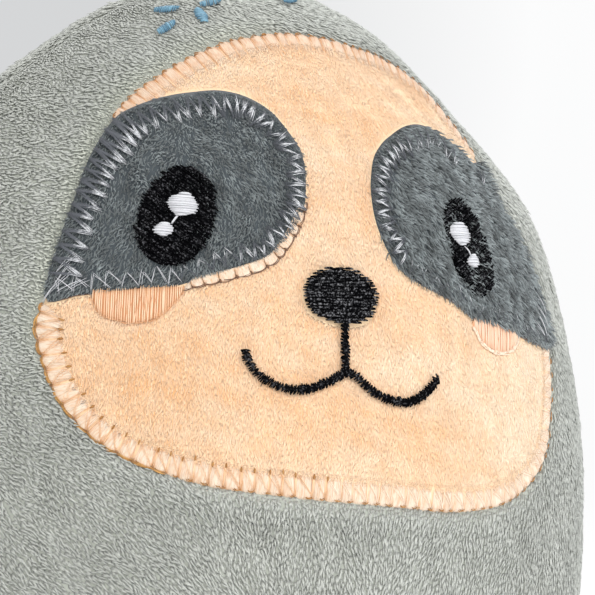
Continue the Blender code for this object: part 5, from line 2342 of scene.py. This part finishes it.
@dataclass
class Studio:
    """The camera, the light and the paper sweep."""

    place: tuple[float, float, float] = (-0.34089, -0.77634, 0.20498)
    right: tuple[float, float, float] = (0.90586, -0.42357, 0.0)
    back: tuple[float, float, float] = (-0.42351, -0.90573, 0.01693)
    roll: float = 6.09
    lens: float = 210.615
    world_light: float = 0.84
    world_tone: Colour = (0.97, 0.985, 1.0)
    wall_tone: Colour = (0.9, 0.9, 0.9)
    aim_height: float = 0.14
    floor_reach: float = 4.0
    wall_height: float = 5.0

    def build(self) -> None:
        """Builds the studio."""
        self.camera()
        self.world()
        for lamp in LAMPS:
            self.hang(lamp)
        self.sweep()

    def camera(self) -> None:
        """Places the camera, which is rolled a little."""
        data = bpy.data.cameras.new("camera")
        data.lens, data.sensor_width = self.lens, 36.0
        data.clip_start, data.clip_end = 0.01, 20.0
        camera = bpy.data.objects.new("camera", data)
        right, back = Vector(self.right), Vector(self.back)
        up = back.cross(right)
        turn = Matrix((right, up, back)).transposed() @ Matrix.Rotation(math.radians(self.roll), 3, "Z")
        camera.matrix_world = Matrix.Translation(self.place) @ turn.to_4x4()
        bpy.context.scene.collection.objects.link(camera)
        bpy.context.scene.camera = camera

    def world(self) -> None:
        """Lights the room evenly, and shows the camera a pale wall."""
        world = bpy.data.worlds.new("room")
        world.use_nodes = True
        bpy.context.scene.world = world
        tree = world.node_tree
        tree.nodes["Background"].inputs["Strength"].default_value = self.world_light
        tree.nodes["Background"].inputs["Color"].default_value = (*self.world_tone, 1.0)
        seen = tree.nodes.new("ShaderNodeBackground")
        seen.inputs["Color"].default_value = (*self.wall_tone, 1.0)
        path, mix = tree.nodes.new("ShaderNodeLightPath"), tree.nodes.new("ShaderNodeMixShader")
        tree.links.new(path.outputs["Is Camera Ray"], mix.inputs[0])
        tree.links.new(tree.nodes["Background"].outputs[0], mix.inputs[1])
        tree.links.new(seen.outputs[0], mix.inputs[2])
        tree.links.new(mix.outputs[0], tree.nodes["World Output"].inputs["Surface"])

    def hang(self, lamp: Lamp) -> None:
        """Hangs a lamp.

        Args:
            lamp: what is hung.
        """
        data = bpy.data.lights.new(lamp.name, "AREA")
        data.size, data.energy, data.color = lamp.size, lamp.power, lamp.tone
        made = bpy.data.objects.new(lamp.name, data)
        made.location = lamp.place
        aim = Vector(lamp.place) - Vector((0, 0, self.aim_height))
        made.rotation_euler = aim.to_track_quat("Z", "Y").to_euler()
        bpy.context.scene.collection.objects.link(made)

    def sweep(self) -> None:
        """Stands the toy on a round paper floor inside a round paper wall."""
        turn = np.linspace(0, 2 * np.pi, 97)[:-1]
        reach = self.floor_reach
        bend = [(reach + math.sin(a), 1.0 - math.cos(a)) for a in np.linspace(0, np.pi / 2, 9)]
        rings = {"paper_floor": [(0.0001, 0.0), (1.0, 0.0), (reach, 0.0)],
                 "paper_wall": [*bend, (reach + 1.0, self.wall_height)]}
        for name, line in rings.items():
            points = [(r * math.cos(a), r * math.sin(a), z - FLOOR_DROP) for r, z in line for a in turn]
            mesh = bpy.data.meshes.new(name)
            mesh.from_pydata(points, [], grid_faces((len(line), len(turn)), closed=True).tolist())
            mesh.shade_smooth()
            paper = bpy.data.objects.new(name, mesh)
            bpy.context.scene.collection.objects.link(paper)
            BACKDROP.wear(paper)
            if name == "paper_wall":
                paper.visible_diffuse = paper.visible_shadow = False


def main() -> None:
    """Builds the toy in the order that it is sewn, and the studio round it."""
    logging.basicConfig(level=logging.INFO, format="%(message)s")
    bpy.context.scene.view_settings.view_transform = "Standard"
    egg = Egg()
    Studio().build()
    Cover(egg).build()
    patches = [EyePatch(egg, side) for side in Side]
    Face(egg, [*(patch.edge() for patch in patches), Applique(egg).outline(NOSE_LINE)]).build()
    for patch, side in zip(patches, Side):
        patch.build()
        Eye(egg, side).build()
        Cheek(egg, side).build()
    NoseAndMouth(egg).build()
    Sprig(egg).build()
    for limb in limbs():
        limb.build()


if __name__ == "__main__":
    main()
